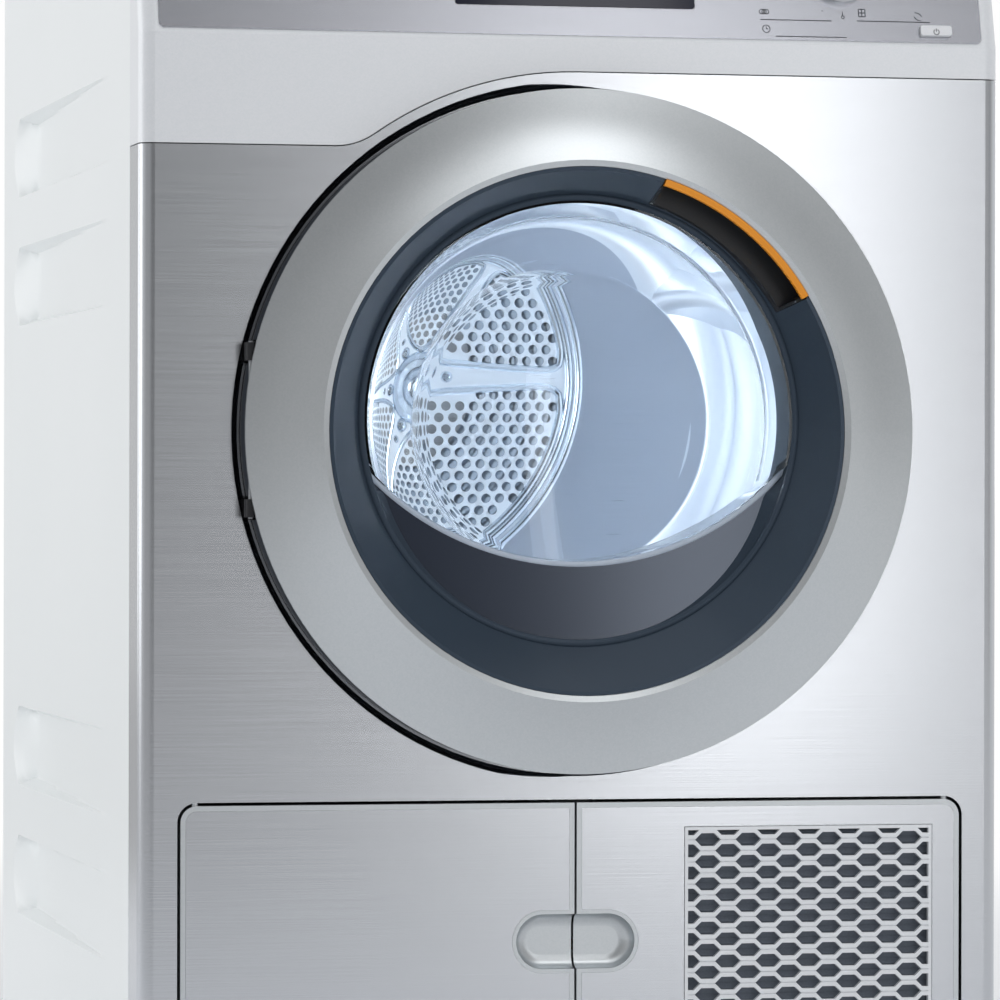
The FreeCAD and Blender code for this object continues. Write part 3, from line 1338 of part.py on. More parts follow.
def motor_rotor():
    """Shaft with the grooved belt pulley."""
    start = "belt_place - pulley_width / 2"
    end = "belt_place + pulley_width / 2"
    tip = "fan_start + fan_width - shaft_stop"
    return turned(("motor_offset", "front_face", "motor_height"), [
        ("0", start), ("pulley_rim", start), ("pulley_rim", f"{start} + pulley_flange"),
        ("pulley_radius", f"{start} + pulley_flange"), ("pulley_radius", f"{end} - pulley_flange"),
        ("pulley_rim", f"{end} - pulley_flange"), ("pulley_rim", end), ("motor_shaft", end),
        ("motor_shaft", tip), ("0", tip),
    ])


def fan_wheel():
    """Backplate, hub and curved blades of the process air fan."""
    start = behind("fan_start")
    end = behind("fan_start + fan_width")
    back = rod("y", MOTOR, (f"{end} - fan_wall", end), "fan_radius")
    hub = rod("y", MOTOR, (start, end), "fan_hub")
    root = "fan_hub - 2 * blade_half"
    tip = "fan_radius - blade_half"
    blades = []
    for step in range(10):
        blade = slab(
            (start, end),
            [
                (root, "-blade_half", "blade_bow"), (tip, "-blade_sweep - blade_half"),
                (tip, "-blade_sweep + blade_half", "-blade_bow"), (root, "blade_half"),
            ],
            at=MOTOR,
        )
        turn(blade, FreeCAD.Vector(0, 1, 0), f"{step} * 36")
        blades.append(blade)
    bore = rod("y", MOTOR, (f"{start} - 1", f"{end} - shaft_stop"), "motor_shaft")
    return cut(fuse(back, hub, *blades), bore)


def fan_scroll():
    """Fan housing that stands on the tray, with a chimney up to the duct."""
    span = (behind("scroll_front"), behind("scroll_back"))
    inner = (f"{span[0]} + scroll_wall", f"{span[1]} - scroll_wall")
    reach = "drum_height - duct_outer - duct_wall"
    left, right = "motor_offset - chimney_half", "motor_offset + chimney_half"
    shell = fuse(
        rod("y", MOTOR, span, "scroll_radius"),
        box((left, right), span, ("floor_height", f"{reach} - 1")),
    )
    hollow = fuse(
        rod("y", MOTOR, inner, "scroll_radius - scroll_wall"),
        box((f"{left} + scroll_wall", f"{right} - scroll_wall"), inner, ("motor_height", f"{reach} + 1")),
    )
    inlet = rod("y", MOTOR, (f"{span[0]} - 1", f"{inner[0]} + 1"), "scroll_inlet")
    return cut(shell, hollow, inlet)


def belt_loop(spread):
    """Closed wire round drum and pulley, a spread outside the belt's inner face."""
    drum_centre = FreeCAD.Vector(0, 0, number("drum_height"))
    pulley_centre = FreeCAD.Vector(number("motor_offset"), 0, number("motor_height"))
    large = number("belt_inner") + spread
    small = number("belt_pulley") + spread
    down = (pulley_centre - drum_centre).normalize()
    lean, rest = number("belt_lean"), number("belt_rest")
    across = FreeCAD.Vector(-down.z, 0, down.x)
    right = down * lean + across * rest
    left = down * lean - across * rest
    drum_right, drum_left = drum_centre + right * large, drum_centre + left * large
    pulley_right, pulley_left = pulley_centre + right * small, pulley_centre + left * small
    return Part.Wire([
        Part.makeLine(drum_right, pulley_right),
        Part.Arc(pulley_right, pulley_centre + down * small, pulley_left).toShape(),
        Part.makeLine(pulley_left, drum_left),
        Part.Arc(drum_left, drum_centre - down * large, drum_right).toShape(),
    ])


def drive_belt():
    belt = doc.addObject("Part::Feature", "belt")
    band = Part.makeFace([belt_loop(number("belt_wall")), belt_loop(0)], "Part::FaceMakerBullseye")
    belt.Shape = band.extrude(FreeCAD.Vector(0, number("belt_width"), 0))
    place(belt, "0", behind("belt_place - belt_width / 2"), "0")
    return belt


IDLER = ("idler_side", "idler_height")


def idler_pulley():
    span = (behind("belt_place - idler_width / 2"), behind("belt_place + idler_width / 2"))
    return tube("y", IDLER, span, "idler_radius", "axle_radius + run_gap")


def idler_post():
    start = behind("belt_place + idler_width / 2 + panel_gap")
    width = ("idler_side - post_half", "idler_side + post_half")
    post = box(width, (start, f"{start} + post_wall"), ("floor_height", "idler_height"))
    top = rod("y", IDLER, (start, f"{start} + post_wall"), "post_half")
    foot = box(width, (start, f"{start} + 4 * post_wall"), ("floor_height", "floor_height + post_wall"))
    axle = rod("y", IDLER, (behind("belt_place - idler_width / 2"), f"{start} + 1"), "axle_radius")
    return fuse(post, top, foot, axle)


# Heat pump in the base.
def exchanger_channel():
    depth = (behind("channel_front"), behind("channel_front + channel_length"))
    outside = box(("-channel_left", "-channel_right"), depth, ("floor_height", "channel_top"))
    inside = box(
        ("-channel_left + channel_wall", "-channel_right - channel_wall"),
        (f"{depth[0]} - 1", f"{depth[1]} + 1"),
        ("floor_height + channel_wall", "channel_top - channel_wall"),
    )
    return cut(outside, inside)


FINS = 18
COIL_ROWS = 4


def finned_coil(start, length):
    """Stack of fins on straight coil tubes between two end plates."""
    left = "-channel_left + channel_wall"
    right = "-channel_right - channel_wall"
    low = "floor_height + channel_wall"
    high = "channel_top - channel_wall"
    depth = (behind(start), behind(f"{start} + {length}"))
    pieces = []
    for step in range(FINS + 1):
        side = f"({left}) + ({right} - fin_wall - ({left})) * {step} / {FINS}"
        pieces.append(box((side, f"{side} + fin_wall"), depth, (low, high)))
    for row in range(COIL_ROWS):
        height = f"({low}) + (({high}) - ({low})) * ({row} + 0.5) / {COIL_ROWS}"
        for share in ("0.25", "0.75"):
            spot = (behind(f"{start} + {length} * {share}"), height)
            pieces.append(rod("x", spot, (left, right), "coil_radius"))
    return fuse(*pieces)


COMPRESSOR = ("compressor_offset", "front_face + compressor_depth")


def compressor():
    """Welded shell with domed ends on a round mounting plate."""
    top = "compressor_base + compressor_height"
    low = "compressor_base + mount_plate"
    weld = f"{top} - weld_drop"
    return turned(COMPRESSOR + ("0",), [
        ("0", "compressor_base"), ("plate_radius", "compressor_base"), ("plate_radius", low),
        ("compressor_radius - foot_bevel / 2", low), ("compressor_radius", f"{low} + foot_bevel"),
        ("compressor_radius", weld), ("compressor_radius + weld_rise", f"{weld} + weld_rise"),
        ("compressor_radius + weld_rise", f"{weld} + weld_width - weld_rise"),
        ("compressor_radius", f"{weld} + weld_width"),
        ("compressor_radius", f"{top} - dome_height", dome("compressor_radius", "dome_height")), ("0", top),
    ], "XZ_Plane")


def compressor_mounts():
    mounts = []
    for step in range(3):
        spot = (
            f"compressor_offset + mount_circle * cos({step} * 120 + 30)",
            f"front_face + compressor_depth + mount_circle * sin({step} * 120 + 30)",
            "0",
        )
        mounts.append(turned(spot, [
            ("0", "floor_height"), ("mount_radius", "floor_height"),
            ("mount_radius - mount_neck", "floor_height + mount_flare"),
            ("mount_radius - mount_neck", "compressor_base - mount_flare"),
            ("mount_radius", "compressor_base"), ("0", "compressor_base"),
        ], "XZ_Plane"))
    return mounts


def bent_pipe(corners):
    """A round pipe along corners given as formulas."""
    points = [FreeCAD.Vector(*[number(words) for words in corner]) for corner in corners]
    path = Part.Wire(Part.makePolygon(points).Edges)
    along = points[1] - points[0]
    section = Part.Wire(Part.Circle(points[0], along, number("pipe_radius")).toShape())
    pipe = doc.addObject("Part::Feature", "pipe")
    pipe.Shape = path.makePipeShell([section], True, False, 2)
    return pipe


def refrigerant_pipes():
    """Hot gas, liquid and suction pipes between compressor, condenser and evaporator."""
    y = COMPRESSOR[1]
    side = "-channel_right"
    gap = "compressor_offset - compressor_radius"
    middle = f"(({side}) + ({gap})) / 2"
    cold_x = f"{middle} + pipe_lane"
    liquid_x = f"{middle} - 2 * pipe_lane"
    condenser_near = behind("condenser_start + condenser_length * 0.25")
    condenser_far = behind("condenser_start + condenser_length * 0.75")
    evaporator_near = behind("evaporator_start + evaporator_length * 0.25")
    evaporator_far = behind("evaporator_start + evaporator_length * 0.75")
    high = "channel_top - pipe_step"
    low = "compressor_base + 2 * pipe_step"
    lowest = "compressor_base + pipe_step"
    hot = bent_pipe([
        (side, condenser_far, high), (middle, condenser_far, high), (middle, condenser_far, low),
        (middle, y, low), (gap, y, low),
    ])
    cold = bent_pipe([
        (side, evaporator_far, lowest), (cold_x, evaporator_far, lowest), (cold_x, y, lowest),
        (gap, y, lowest),
    ])
    liquid = bent_pipe([
        (side, condenser_near, high), (liquid_x, condenser_near, high),
        (liquid_x, evaporator_near, high), (side, evaporator_near, high),
    ])
    return group(hot, cold, liquid)


FAN = ("grille_centre", "flap_centre")


def cooling_fan_frame():
    """Square fan housing on a foot, with three struts that hold the hub motor."""
    depth = (behind("fan_frame_start"), behind("fan_frame_start + fan_frame_depth"))
    side = ("grille_centre - fan_frame_half", "grille_centre + fan_frame_half")
    frame = slab(
        depth,
        rounded(*side, "flap_centre - fan_frame_half", "flap_centre + fan_frame_half", "frame_corner"),
        ("circle", "grille_centre", "flap_centre", "fan_hole"),
    )
    foot_side = (f"{side[0]} + 2 * frame_corner", f"{side[1]} - 2 * frame_corner")
    foot = box(foot_side, depth, ("floor_height", "flap_centre - fan_frame_half"))
    rear = (f"{depth[1]} - strut_wall", depth[1])
    core = rod("y", FAN, (f"{depth[1]} - 2 * strut_wall", depth[1]), "boss_core")
    axle = rod("y", FAN, (f"{depth[0]} + axle_start", depth[1]), "axle_radius")
    struts = []
    for step in range(3):
        strut = slab(rear, rectangle("boss_core - 2", "fan_hole + 1", "-strut_half", "strut_half"), at=FAN)
        turn(strut, FreeCAD.Vector(0, 1, 0), f"{step} * 120 + 30")
        struts.append(strut)
    return fuse(frame, foot, core, axle, *struts)


def cooling_fan():
    """Axial wheel: hub and five twisted blades lofted from root to tip."""
    start = behind("fan_frame_start + 2")
    hub = tube("y", FAN, (start, f"{start} + wheel_depth - 0.5"), "wheel_hub", "axle_radius + run_gap")
    blades = []
    for step in range(5):
        blade = doc.addObject("PartDesign::Body", "body")
        loft = blade.newObject("PartDesign::AdditiveLoft", "blade")
        root = [("-5", "4"), ("-3", "3"), ("6", "13"), ("4", "14")]
        tip = [("-20", "7"), ("-19", "5.5"), ("21", "11.5"), ("20", "13")]
        loft.Profile = draw(blade, "YZ_Plane", [[(v, u) for u, v in root]], "wheel_hub - 4")
        loft.Sections = [draw(blade, "YZ_Plane", [[(v, u) for u, v in tip]], "wheel_radius - 3")]
        loft.Ruled = True
        blade.Tip = loft
        turn(blade, FreeCAD.Vector(0, 1, 0), f"{step} * 72")
        place(blade, FAN[0], start, FAN[1])
        blades.append(blade)
    bore = rod("y", FAN, (f"{start} - 1", f"{start} + wheel_depth + 4"), "axle_radius + run_gap")
    return cut(fuse(hub, *blades), bore)


def condensate_pump():
    depth = (behind("pump_start"), behind("pump_start + pump_length"))
    side = ("pump_offset - pump_half", "pump_offset + pump_half")
    base = "floor_height + pump_height"
    sump = box(side, depth, ("floor_height", base))
    crown = "pump_motor - pump_draft"
    motor = turned(("pump_offset", behind("pump_start + pump_length / 2"), "0"), [
        ("0", base), ("pump_motor", base),
        (crown, f"{base} + pump_rise - pump_crown", dome(crown, "pump_crown")),
        ("0", f"{base} + pump_rise"),
    ], "XZ_Plane")
    return fuse(sump, motor)


def rear_connections():
    """Cable gland and drain spigot that stand out of the rear panel."""
    face = "back_face + sheet_wall"
    gland_axis = ("gland_offset", "fitting_height")
    spigot_axis = ("spigot_offset", "fitting_height")
    flange_span = (face, f"{face} + flange_wall")
    spigot_span = ("back_face - spigot_inside", f"{face} + spigot_length")
    gland = tube("y", gland_axis, (face, f"{face} + gland_length"), "gland_radius", "gland_bore")
    nut = tube("y", gland_axis, flange_span, "fitting_flange", "gland_bore")
    spigot = tube("y", spigot_axis, spigot_span, "spigot_radius", "spigot_bore")
    flange = tube("y", spigot_axis, flange_span, "fitting_flange", "spigot_bore")
    return group(fuse(gland, nut), fuse(spigot, flange))


# Sub-parts by body.
node("base_tray", base_tray())
node("feet", feet())
left_side = node("side_panel_left", side_panel())
node("side_panel_right", mirrored(left_side))
node("front_panel", front_panel())
node("rear_panel", rear_panel())
node("rear_cover", rear_cover())
node("lid", lid())
node("fascia", fascia())
node("control_plate", control_plate())
node("display_window", display_window())
node("control_board", control_board())
node("loading_port", loading_port())
node("door_seal", door_seal())
node("door_hinge_bracket", door_hinge_bracket())
node("door_lock", door_lock())
node("flap_fittings", flap_fittings())
node("front_shield", front_shield())
node("drum_felts", drum_felts())
node("rear_bulkhead", rear_bulkhead())
node("drum_bearing", drum_bearing())
node("drive_motor", drive_motor())
node("fan_scroll", fan_scroll())
node("drive_belt", drive_belt())
node("idler_post", idler_post())
node("exchanger_channel", exchanger_channel())
node("evaporator", finned_coil("evaporator_start", "evaporator_length"))
node("condenser", finned_coil("condenser_start", "condenser_length"))
node("compressor", compressor())
node("refrigerant_pipes", refrigerant_pipes())
node("cooling_fan_frame", cooling_fan_frame())
node("condensate_pump", condensate_pump())
node("rear_connections", rear_connections())

node("door_ring", door_ring())
node("window_surround", window_surround())
node("door_frame", door_frame())
node("door_glass", door_glass())
node("window_apron", below_arc("0", "apron_wall", "0"))
node("lint_filter", below_arc("apron_wall", "apron_wall + filter_wall", "filter_inset"))
node("grip_cup", grip_cup())
node("grip_strip", grip_strip())
node("hinge_pin", hinge_pin())

left_flap = node("left_flap", flap_body())
left_skin = node("left_flap_skin", slab(("front_face", behind("skin_wall")), skin_outline("skin_play")))
whole_depth = (behind("-1"), behind("flap_depth + 1"))
node("right_flap", cut(mirrored(left_flap), grille_window(whole_depth, "0")))
node("right_flap_skin", cut(mirrored(left_skin), grille_window(whole_depth, "-skin_play")))
node("air_grille", air_grille())

node("drum_shell", drum_shell())
node("drum_back", drum_back())
node("drum_lifters", drum_lifters())
node("drum_shaft", drum_shaft())
node("roller_left", support_roller("-"))
node("roller_right", support_roller(""))
node("motor_rotor", motor_rotor())
node("fan_wheel", fan_wheel())
node("idler_pulley", idler_pulley())
node("cooling_fan", cooling_fan())
node("selector_knob", selector_knob())
node("power_button", push_button("power_rise"))
node("start_button", push_button("start_rise"))

doc.recompute()
faults = [item.Name for item in doc.Objects if {"Invalid", "Error"} & set(item.State)]
if faults:
    raise RuntimeError("not built: " + ", ".join(faults))
for label, item in NODES.items():
    if item.Shape.isNull() or not item.Shape.isValid() or not item.Shape.Solids:
        raise RuntimeError("no sound solid: " + label)
    item.Shape.exportStep(f"parts/{label}.step")
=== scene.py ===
import math
from functools import partial

import bmesh
import bpy
from mathutils import Matrix, Vector


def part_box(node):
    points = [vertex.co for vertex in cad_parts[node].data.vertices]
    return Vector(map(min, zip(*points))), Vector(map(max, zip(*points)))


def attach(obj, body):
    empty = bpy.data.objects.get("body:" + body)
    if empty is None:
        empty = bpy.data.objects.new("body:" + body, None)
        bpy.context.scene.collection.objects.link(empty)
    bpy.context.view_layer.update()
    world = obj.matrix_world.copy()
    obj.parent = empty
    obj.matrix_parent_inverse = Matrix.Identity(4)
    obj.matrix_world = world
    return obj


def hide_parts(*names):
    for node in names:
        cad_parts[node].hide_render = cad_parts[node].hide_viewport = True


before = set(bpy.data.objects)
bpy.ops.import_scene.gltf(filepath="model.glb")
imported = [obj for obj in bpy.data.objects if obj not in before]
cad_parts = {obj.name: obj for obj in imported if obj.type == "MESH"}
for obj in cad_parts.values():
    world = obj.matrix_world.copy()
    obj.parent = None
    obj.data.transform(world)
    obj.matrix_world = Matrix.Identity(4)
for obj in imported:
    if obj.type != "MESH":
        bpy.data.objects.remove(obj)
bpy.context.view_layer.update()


# Studio: a pale seamless floor in a white room with soft boxes left, overhead and behind, and one tall narrow
# strip at the right of the lens. Metal mirrors the white room with the grey screens that stand at its sides.
def srgb(text):
    """Linear colour of an sRGB hex value."""
    parts = [int(text[i:i + 2], 16) / 255 for i in (1, 3, 5)]
    return tuple(c / 12.92 if c <= 0.04045 else ((c + 0.055) / 1.055) ** 2.4 for c in parts) + (1.0,)


def feed(node, inputs):
    """Give a node its inputs, by name or in a row: values, outputs, or nodes for their first output."""
    for name, value in inputs.items() if isinstance(inputs, dict) else enumerate(inputs):
        if isinstance(value, bpy.types.Node):
            value = next(output for output in value.outputs if output.enabled)
        if isinstance(value, bpy.types.NodeSocket):
            node.id_data.links.new(value, node.inputs[name])
        else:
            node.inputs[name].default_value = value


def add_node(tree, kind, inputs=(), **settings):
    """One node with its settings and inputs."""
    made = tree.nodes.new(kind)
    for name, value in settings.items():
        setattr(made, name, value)
    feed(made, inputs)
    return made


def eye_rays(tree):
    """The rays that see the room's white, straight or by glass and metal, and the mirrored ones alone."""
    rays = add_node(tree, "ShaderNodeLightPath").outputs
    turned = add_node(tree, "ShaderNodeMath", (
        rays["Is Glossy Ray"], rays["Is Transmission Ray"]), operation="MAXIMUM")
    seen = add_node(tree, "ShaderNodeMath", (rays["Is Camera Ray"], turned), operation="MAXIMUM")
    return seen, rays["Is Glossy Ray"]


def put(name, data):
    """A new object in the scene."""
    thing = bpy.data.objects.new(name, data)
    bpy.context.scene.collection.objects.link(thing)
    return thing


def hang_lamp(name, shape, size, watts, spot, way):
    """An area lamp at a spot that shines along a way."""
    light = bpy.data.lights.new(name, "AREA")
    light.shape = shape
    light.size = size
    light.energy = watts
    lamp = put(name, light)
    lamp.location = spot
    lamp.rotation_euler = Vector(way).to_track_quat("-Z", "Y").to_euler()
    return lamp


bpy.context.scene.view_settings.view_transform = "Standard"
room_light = 0.62
white = (1, 1, 1, 1)
world = bpy.data.worlds.new("white_room")
bpy.context.scene.world = world
world.use_nodes = True
tree = world.node_tree
tree.nodes.clear()
add = partial(add_node, tree)
seen, mirrored = eye_rays(tree)
lit = add("ShaderNodeBackground", {"Color": srgb("#fbfcff"), "Strength": room_light})
screens = (
    # degrees round the machine from its front to its right, share of white
    (-180, 0.6), (-150, 0.6), (-112, 0.85), (-84, 0.7), (-60, 0.42), (-32, 0.4), (-12, 0.2), (10, 0.2),
    (14, 0.33), (20, 0.42), (36, 0.46), (58, 0.36), (84, 0.7), (112, 0.85), (150, 0.6), (180, 0.6),
)
screen_top_low, screen_top_high = 0.62, 0.86
look = add("ShaderNodeTexCoord").outputs["Generated"]
aim = add("ShaderNodeSeparateXYZ", (look,)).outputs
ahead = add("ShaderNodeMath", (aim["Y"], -1.0), operation="MULTIPLY")
round_angle = add("ShaderNodeMath", (aim["X"], ahead), operation="ARCTAN2")
round_share = add("ShaderNodeMapRange", {"Value": round_angle, "From Min": -math.pi, "From Max": math.pi})
screen = add("ShaderNodeValToRGB", {"Fac": round_share})
stops = screen.color_ramp.elements
for degrees, share in screens:
    stop = stops[0] if degrees == -180 else stops[-1] if degrees == 180 else stops.new(0.5 + degrees / 360)
    stop.position = 0.5 + degrees / 360
    stop.color = (share, share, share, 1)
above = add("ShaderNodeMapRange", {
    "Value": aim["Z"], "From Min": screen_top_low, "From Max": screen_top_high},
    interpolation_type="SMOOTHSTEP")
walls = add("ShaderNodeMix", {"Factor": above, "A": screen, "B": white}, data_type="RGBA")
backdrop = add("ShaderNodeMix", {"Factor": mirrored, "A": white, "B": walls}, data_type="RGBA")
blank = add("ShaderNodeBackground", {"Color": backdrop})
mixed = add("ShaderNodeMixShader", (seen, lit, blank))
add("ShaderNodeOutputWorld", {"Surface": mixed})

soft_boxes = (
    # name, place, width, height, watts
    ("left_box", (-2.9, 0.7, 1.3), 1.7, 2.2, 15),
    ("right_strip", (1.10, -4.1, 1.5), 0.26, 3.6, 13.5),
    ("high_box", (0.75, -2.2, 3.5), 1.3, 0.8, 5.5),
    ("top_box", (0.1, -0.7, 3.3), 2.6, 2.0, 9),
    ("rear_box", (1.8, 3.2, 1.4), 1.6, 2.0, 20),
    ("rear_left_box", (-2.4, 2.7, 1.2), 1.6, 2.0, 10),
)
machine_middle = Vector((0, 0, 0.45))
for name, spot, width, height, watts in soft_boxes:
    lamp = hang_lamp(name, "RECTANGLE", width, watts, spot, machine_middle - Vector(spot))
    lamp.data.size_y = height
    lamp.visible_camera = False

floor_half = 9
floor_mesh = bpy.data.meshes.new("studio_floor")
floor_corners = ((-1, -1), (1, -1), (1, 1), (-1, 1))
floor_mesh.from_pydata([(floor_half * x, floor_half * y, 0) for x, y in floor_corners], [], [(0, 1, 2, 3)])
floor = put("studio_floor", floor_mesh)
# Away from the machine the floor runs out into the white of the room. Metal mirrors that part as grey as the
# screens, lighter to the right.
pale = bpy.data.materials.new("pale_floor")
pale.use_nodes = True
tree = pale.node_tree
add = partial(add_node, tree)
shader = tree.nodes["Principled BSDF"]
feed(shader, {"Base Color": srgb("#f6f7f8"), "Roughness": 0.85})
fade_start, fade_end = 1.3, 3.0
seen, mirrored = eye_rays(tree)
ground_place = add("ShaderNodeTexCoord").outputs["Object"]
away = add("ShaderNodeVectorMath", (ground_place,), operation="LENGTH")
far = add("ShaderNodeMapRange", {
    "Value": away, "From Min": fade_start, "From Max": fade_end}, interpolation_type="SMOOTHSTEP")
share = add("ShaderNodeMath", (seen, far), operation="MULTIPLY")
sideways = add("ShaderNodeSeparateXYZ", (ground_place,))
grey = add("ShaderNodeMapRange", {
    "Value": sideways, "From Min": 0.2, "From Max": 1.2, "To Min": 0.46, "To Max": 0.76})
backdrop = add("ShaderNodeMix", {"Factor": mirrored, "A": white, "B": grey}, data_type="RGBA")
glow = add("ShaderNodeEmission", {"Color": backdrop})
mixed = add("ShaderNodeMixShader", (share, shader, glow))
feed(tree.nodes["Material Output"], {"Surface": mixed})
floor_mesh.materials.append(pale)

camera = put("camera", bpy.data.cameras.new("camera"))
bpy.context.scene.camera = camera
camera.data.sensor_width = 36
camera.data.lens = 200.27
camera.data.shift_y = 0.005
camera.matrix_world = (
    Matrix.Translation((-0.8683, -3.9965, 0.4155))
    @ Matrix.Rotation(math.radians(-12.6), 4, "Z")
    @ Matrix.Rotation(math.radians(90), 4, "X")
    @ Matrix.Rotation(math.radians(0.12), 4, "Z")
)


# Base tray and feet: the tray is one deep moulding of glass filled polypropylene that carries the heat
# pump, and it stands on four rubber feet on threaded studs.
def start_finish(name):
    """A new material, its tree, its shader and the place on the object in metres."""
    material = bpy.data.materials.new(name)
    material.use_nodes = True
    tree = material.node_tree
    place = add_node(tree, "ShaderNodeTexCoord").outputs["Object"]
    return material, tree, tree.nodes["Principled BSDF"], place


def shade(tree, factor, low, high):
    """A colour that moves between two hex values with a pattern."""
    tones = {"Factor": factor, "A": srgb(low), "B": srgb(high)}
    return add_node(tree, "ShaderNodeMix", tones, data_type="RGBA")


def grain(tree, place, along, width):
    """Fine lines along X, of a length and a width in metres."""
    scale = (1 / along, 1 / width, 1 / width)
    stretched = add_node(tree, "ShaderNodeMapping", {"Vector": place, "Scale": scale})
    return add_node(tree, "ShaderNodeTexNoise", {"Vector": stretched, "Scale": 1.0, "Detail": 3.0})


def finish(name, low, high, rough, cloud=None, lines=None, flakes=None, relief=None, metal=0.0, looks=()):
    """A material whose tone moves between two hex values with a pattern of a real size in metres.

    A cloud has a size and a detail, lines have a length and a width, flakes a width. A pair of roughnesses
    moves the gloss with the pattern, relief is a strength and a depth, looks set more of the shader.
    """
    material, tree, shader, place = start_finish(name)
    if cloud:
        size, detail = cloud
        pattern = add_node(tree, "ShaderNodeTexNoise", {"Vector": place, "Scale": 1 / size, "Detail": detail})
    elif lines:
        pattern = grain(tree, place, *lines)
    else:
        flake = add_node(tree, "ShaderNodeTexVoronoi", {"Vector": place, "Scale": 1 / flakes})
        pattern = add_node(tree, "ShaderNodeSeparateColor", {"Color": flake.outputs["Color"]})
    if isinstance(rough, tuple):
        least, most = rough
        rough = add_node(tree, "ShaderNodeMapRange", {"Value": pattern, "To Min": least, "To Max": most})
    feed(shader, {"Base Color": shade(tree, pattern, low, high), "Roughness": rough, "Metallic": metal})
    if relief:
        strength, depth = relief
        bump = add_node(tree, "ShaderNodeBump", {"Height": pattern, "Strength": strength, "Distance": depth})
        feed(shader, {"Normal": bump})
    feed(shader, looks)
    return material


def dress(material, *names):
    """Give a finish to nodes of the frame."""
    for name in names:
        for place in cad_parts[name].material_slots:
            place.material = material


# The spark eroded mould leaves a grain of about 1.5 mm that breaks the highlight.
moulded = finish("grey_polypropylene", "#83878b", "#93979b", 0.55, cloud=(0.0015, 3), relief=(0.15, 0.0003))
dress(moulded, "base_tray")

# Rubber is dull and a little dusty, in patches of about 6 mm.
rubber = finish("black_rubber", "#1b1c1f", "#2a2b2f", 0.75, cloud=(0.006, 4))
dress(rubber, "feet")

# Heat pump: two finned coils of copper tube and aluminium sheet in a moulded channel, a welded compressor
# painted black, brazed copper pipes, an axial cooling fan behind the front grille and a condensate pump.
dress(moulded, "exchanger_channel")

# Stamped fins show fine rolling lines about 2 mm apart.
fins = finish("aluminium_fins", "#c2c6cb", "#d6dade", 0.4, lines=(0.01, 0.002), metal=0.9)
dress(fins, "evaporator", "condenser")

# Copper is tarnished in soft patches of about 20 mm.
copper = finish("copper_pipe", "#a8623c", "#cf8a5e", 0.32, cloud=(0.02, 4), metal=1.0)
dress(copper, "refrigerant_pipes")

# Dipped enamel flows in low waves of about 4 mm.
enamel = finish("black_enamel", "#15161a", "#1d1f23", 0.3, cloud=(0.004, 2))
dress(enamel, "compressor")

# Black ABS from a grained mould is half matt, with a grain of about 1.2 mm.
black = finish("black_abs", "#15171b", "#1f2227", 0.45, cloud=(0.0012, 3), relief=(0.1, 0.0002))
dress(black, "cooling_fan_frame", "cooling_fan", "condensate_pump")

# Drive: a capacitor motor turns the drum by a flat belt past an idler pulley, and the process air fan on
# its other shaft end, in a moulded scroll.
dress(enamel, "drive_motor")
dress(black, "fan_wheel", "idler_pulley")
dress(moulded, "fan_scroll")
dress(rubber, "drive_belt")

# Turned steel keeps fine tool lines about 0.8 mm apart.
bare = finish("turned_steel", "#8f9296", "#a6a9ad", 0.35, lines=(0.02, 0.0008), metal=1.0)
dress(bare, "motor_rotor", "idler_post")

# Drum supports: a pressed galvanised shield in front and bulkhead behind, felt rings that seal the drum,
# two rubber rollers under its front edge and a plain bearing for its rear shaft.
# Hot dip zinc freezes in spangles about 12 mm across, each a little lighter or darker.
zinc = finish("galvanised_steel", "#a9adb1", "#bfc3c7", (0.38, 0.55), flakes=0.012, metal=0.85)
dress(zinc, "front_shield", "rear_bulkhead")

# Pressed wool felt is quite dull, matted from fibres of about 2 mm.
felt = finish("wool_felt", "#6d6f72", "#8d8f92", 0.95, cloud=(0.002, 5))
dress(felt, "drum_felts")
dress(rubber, "roller_left", "roller_right")
dress(bare, "drum_bearing", "drum_shaft")

# Drum: rolled and seamed from bright stainless sheet, with three pressed lifters.
# Rolling leaves fine lines along the sheet, so highlights draw out into long soft streaks.
bright = finish("bright_stainless_steel", "#dde4ec", "#e5eaf1", (0.28, 0.38), lines=(0.06, 0.0012),
                metal=0.62)
dress(bright, "drum_shell", "drum_lifters")


# Rear wall of the drum: one stainless disc, punched with six fields of round air holes between tapered
# spokes, and pressed with a hub, the spokes and two round beads that stiffen it.
def new_pattern(name, sizes):
    """An empty geometry tree with named size inputs, and its input sockets."""
    tree = bpy.data.node_groups.new(name, "GeometryNodeTree")
    tree.interface.new_socket("Geometry", in_out="INPUT", socket_type="NodeSocketGeometry")
    for label in sizes:
        tree.interface.new_socket(label, in_out="INPUT", socket_type="NodeSocketFloat")
    tree.interface.new_socket("Geometry", in_out="OUTPUT", socket_type="NodeSocketGeometry")
    return tree, tree.nodes.new("NodeGroupInput").outputs


def end_pattern(tree, geometry, material):
    """Close a tree: real geometry with one finish."""
    real = add_node(tree, "GeometryNodeRealizeInstances", {"Geometry": geometry})
    finished = add_node(tree, "GeometryNodeSetMaterial", {"Geometry": real, "Material": material})
    add_node(tree, "NodeGroupOutput", {"Geometry": finished})


def keep_mesh(piece):
    """Put the result of a piece's modifiers in place of its mesh."""
    result = bpy.data.meshes.new_from_object(piece.evaluated_get(bpy.context.evaluated_depsgraph_get()))
    piece.modifiers.clear()
    piece.data = result
    return piece


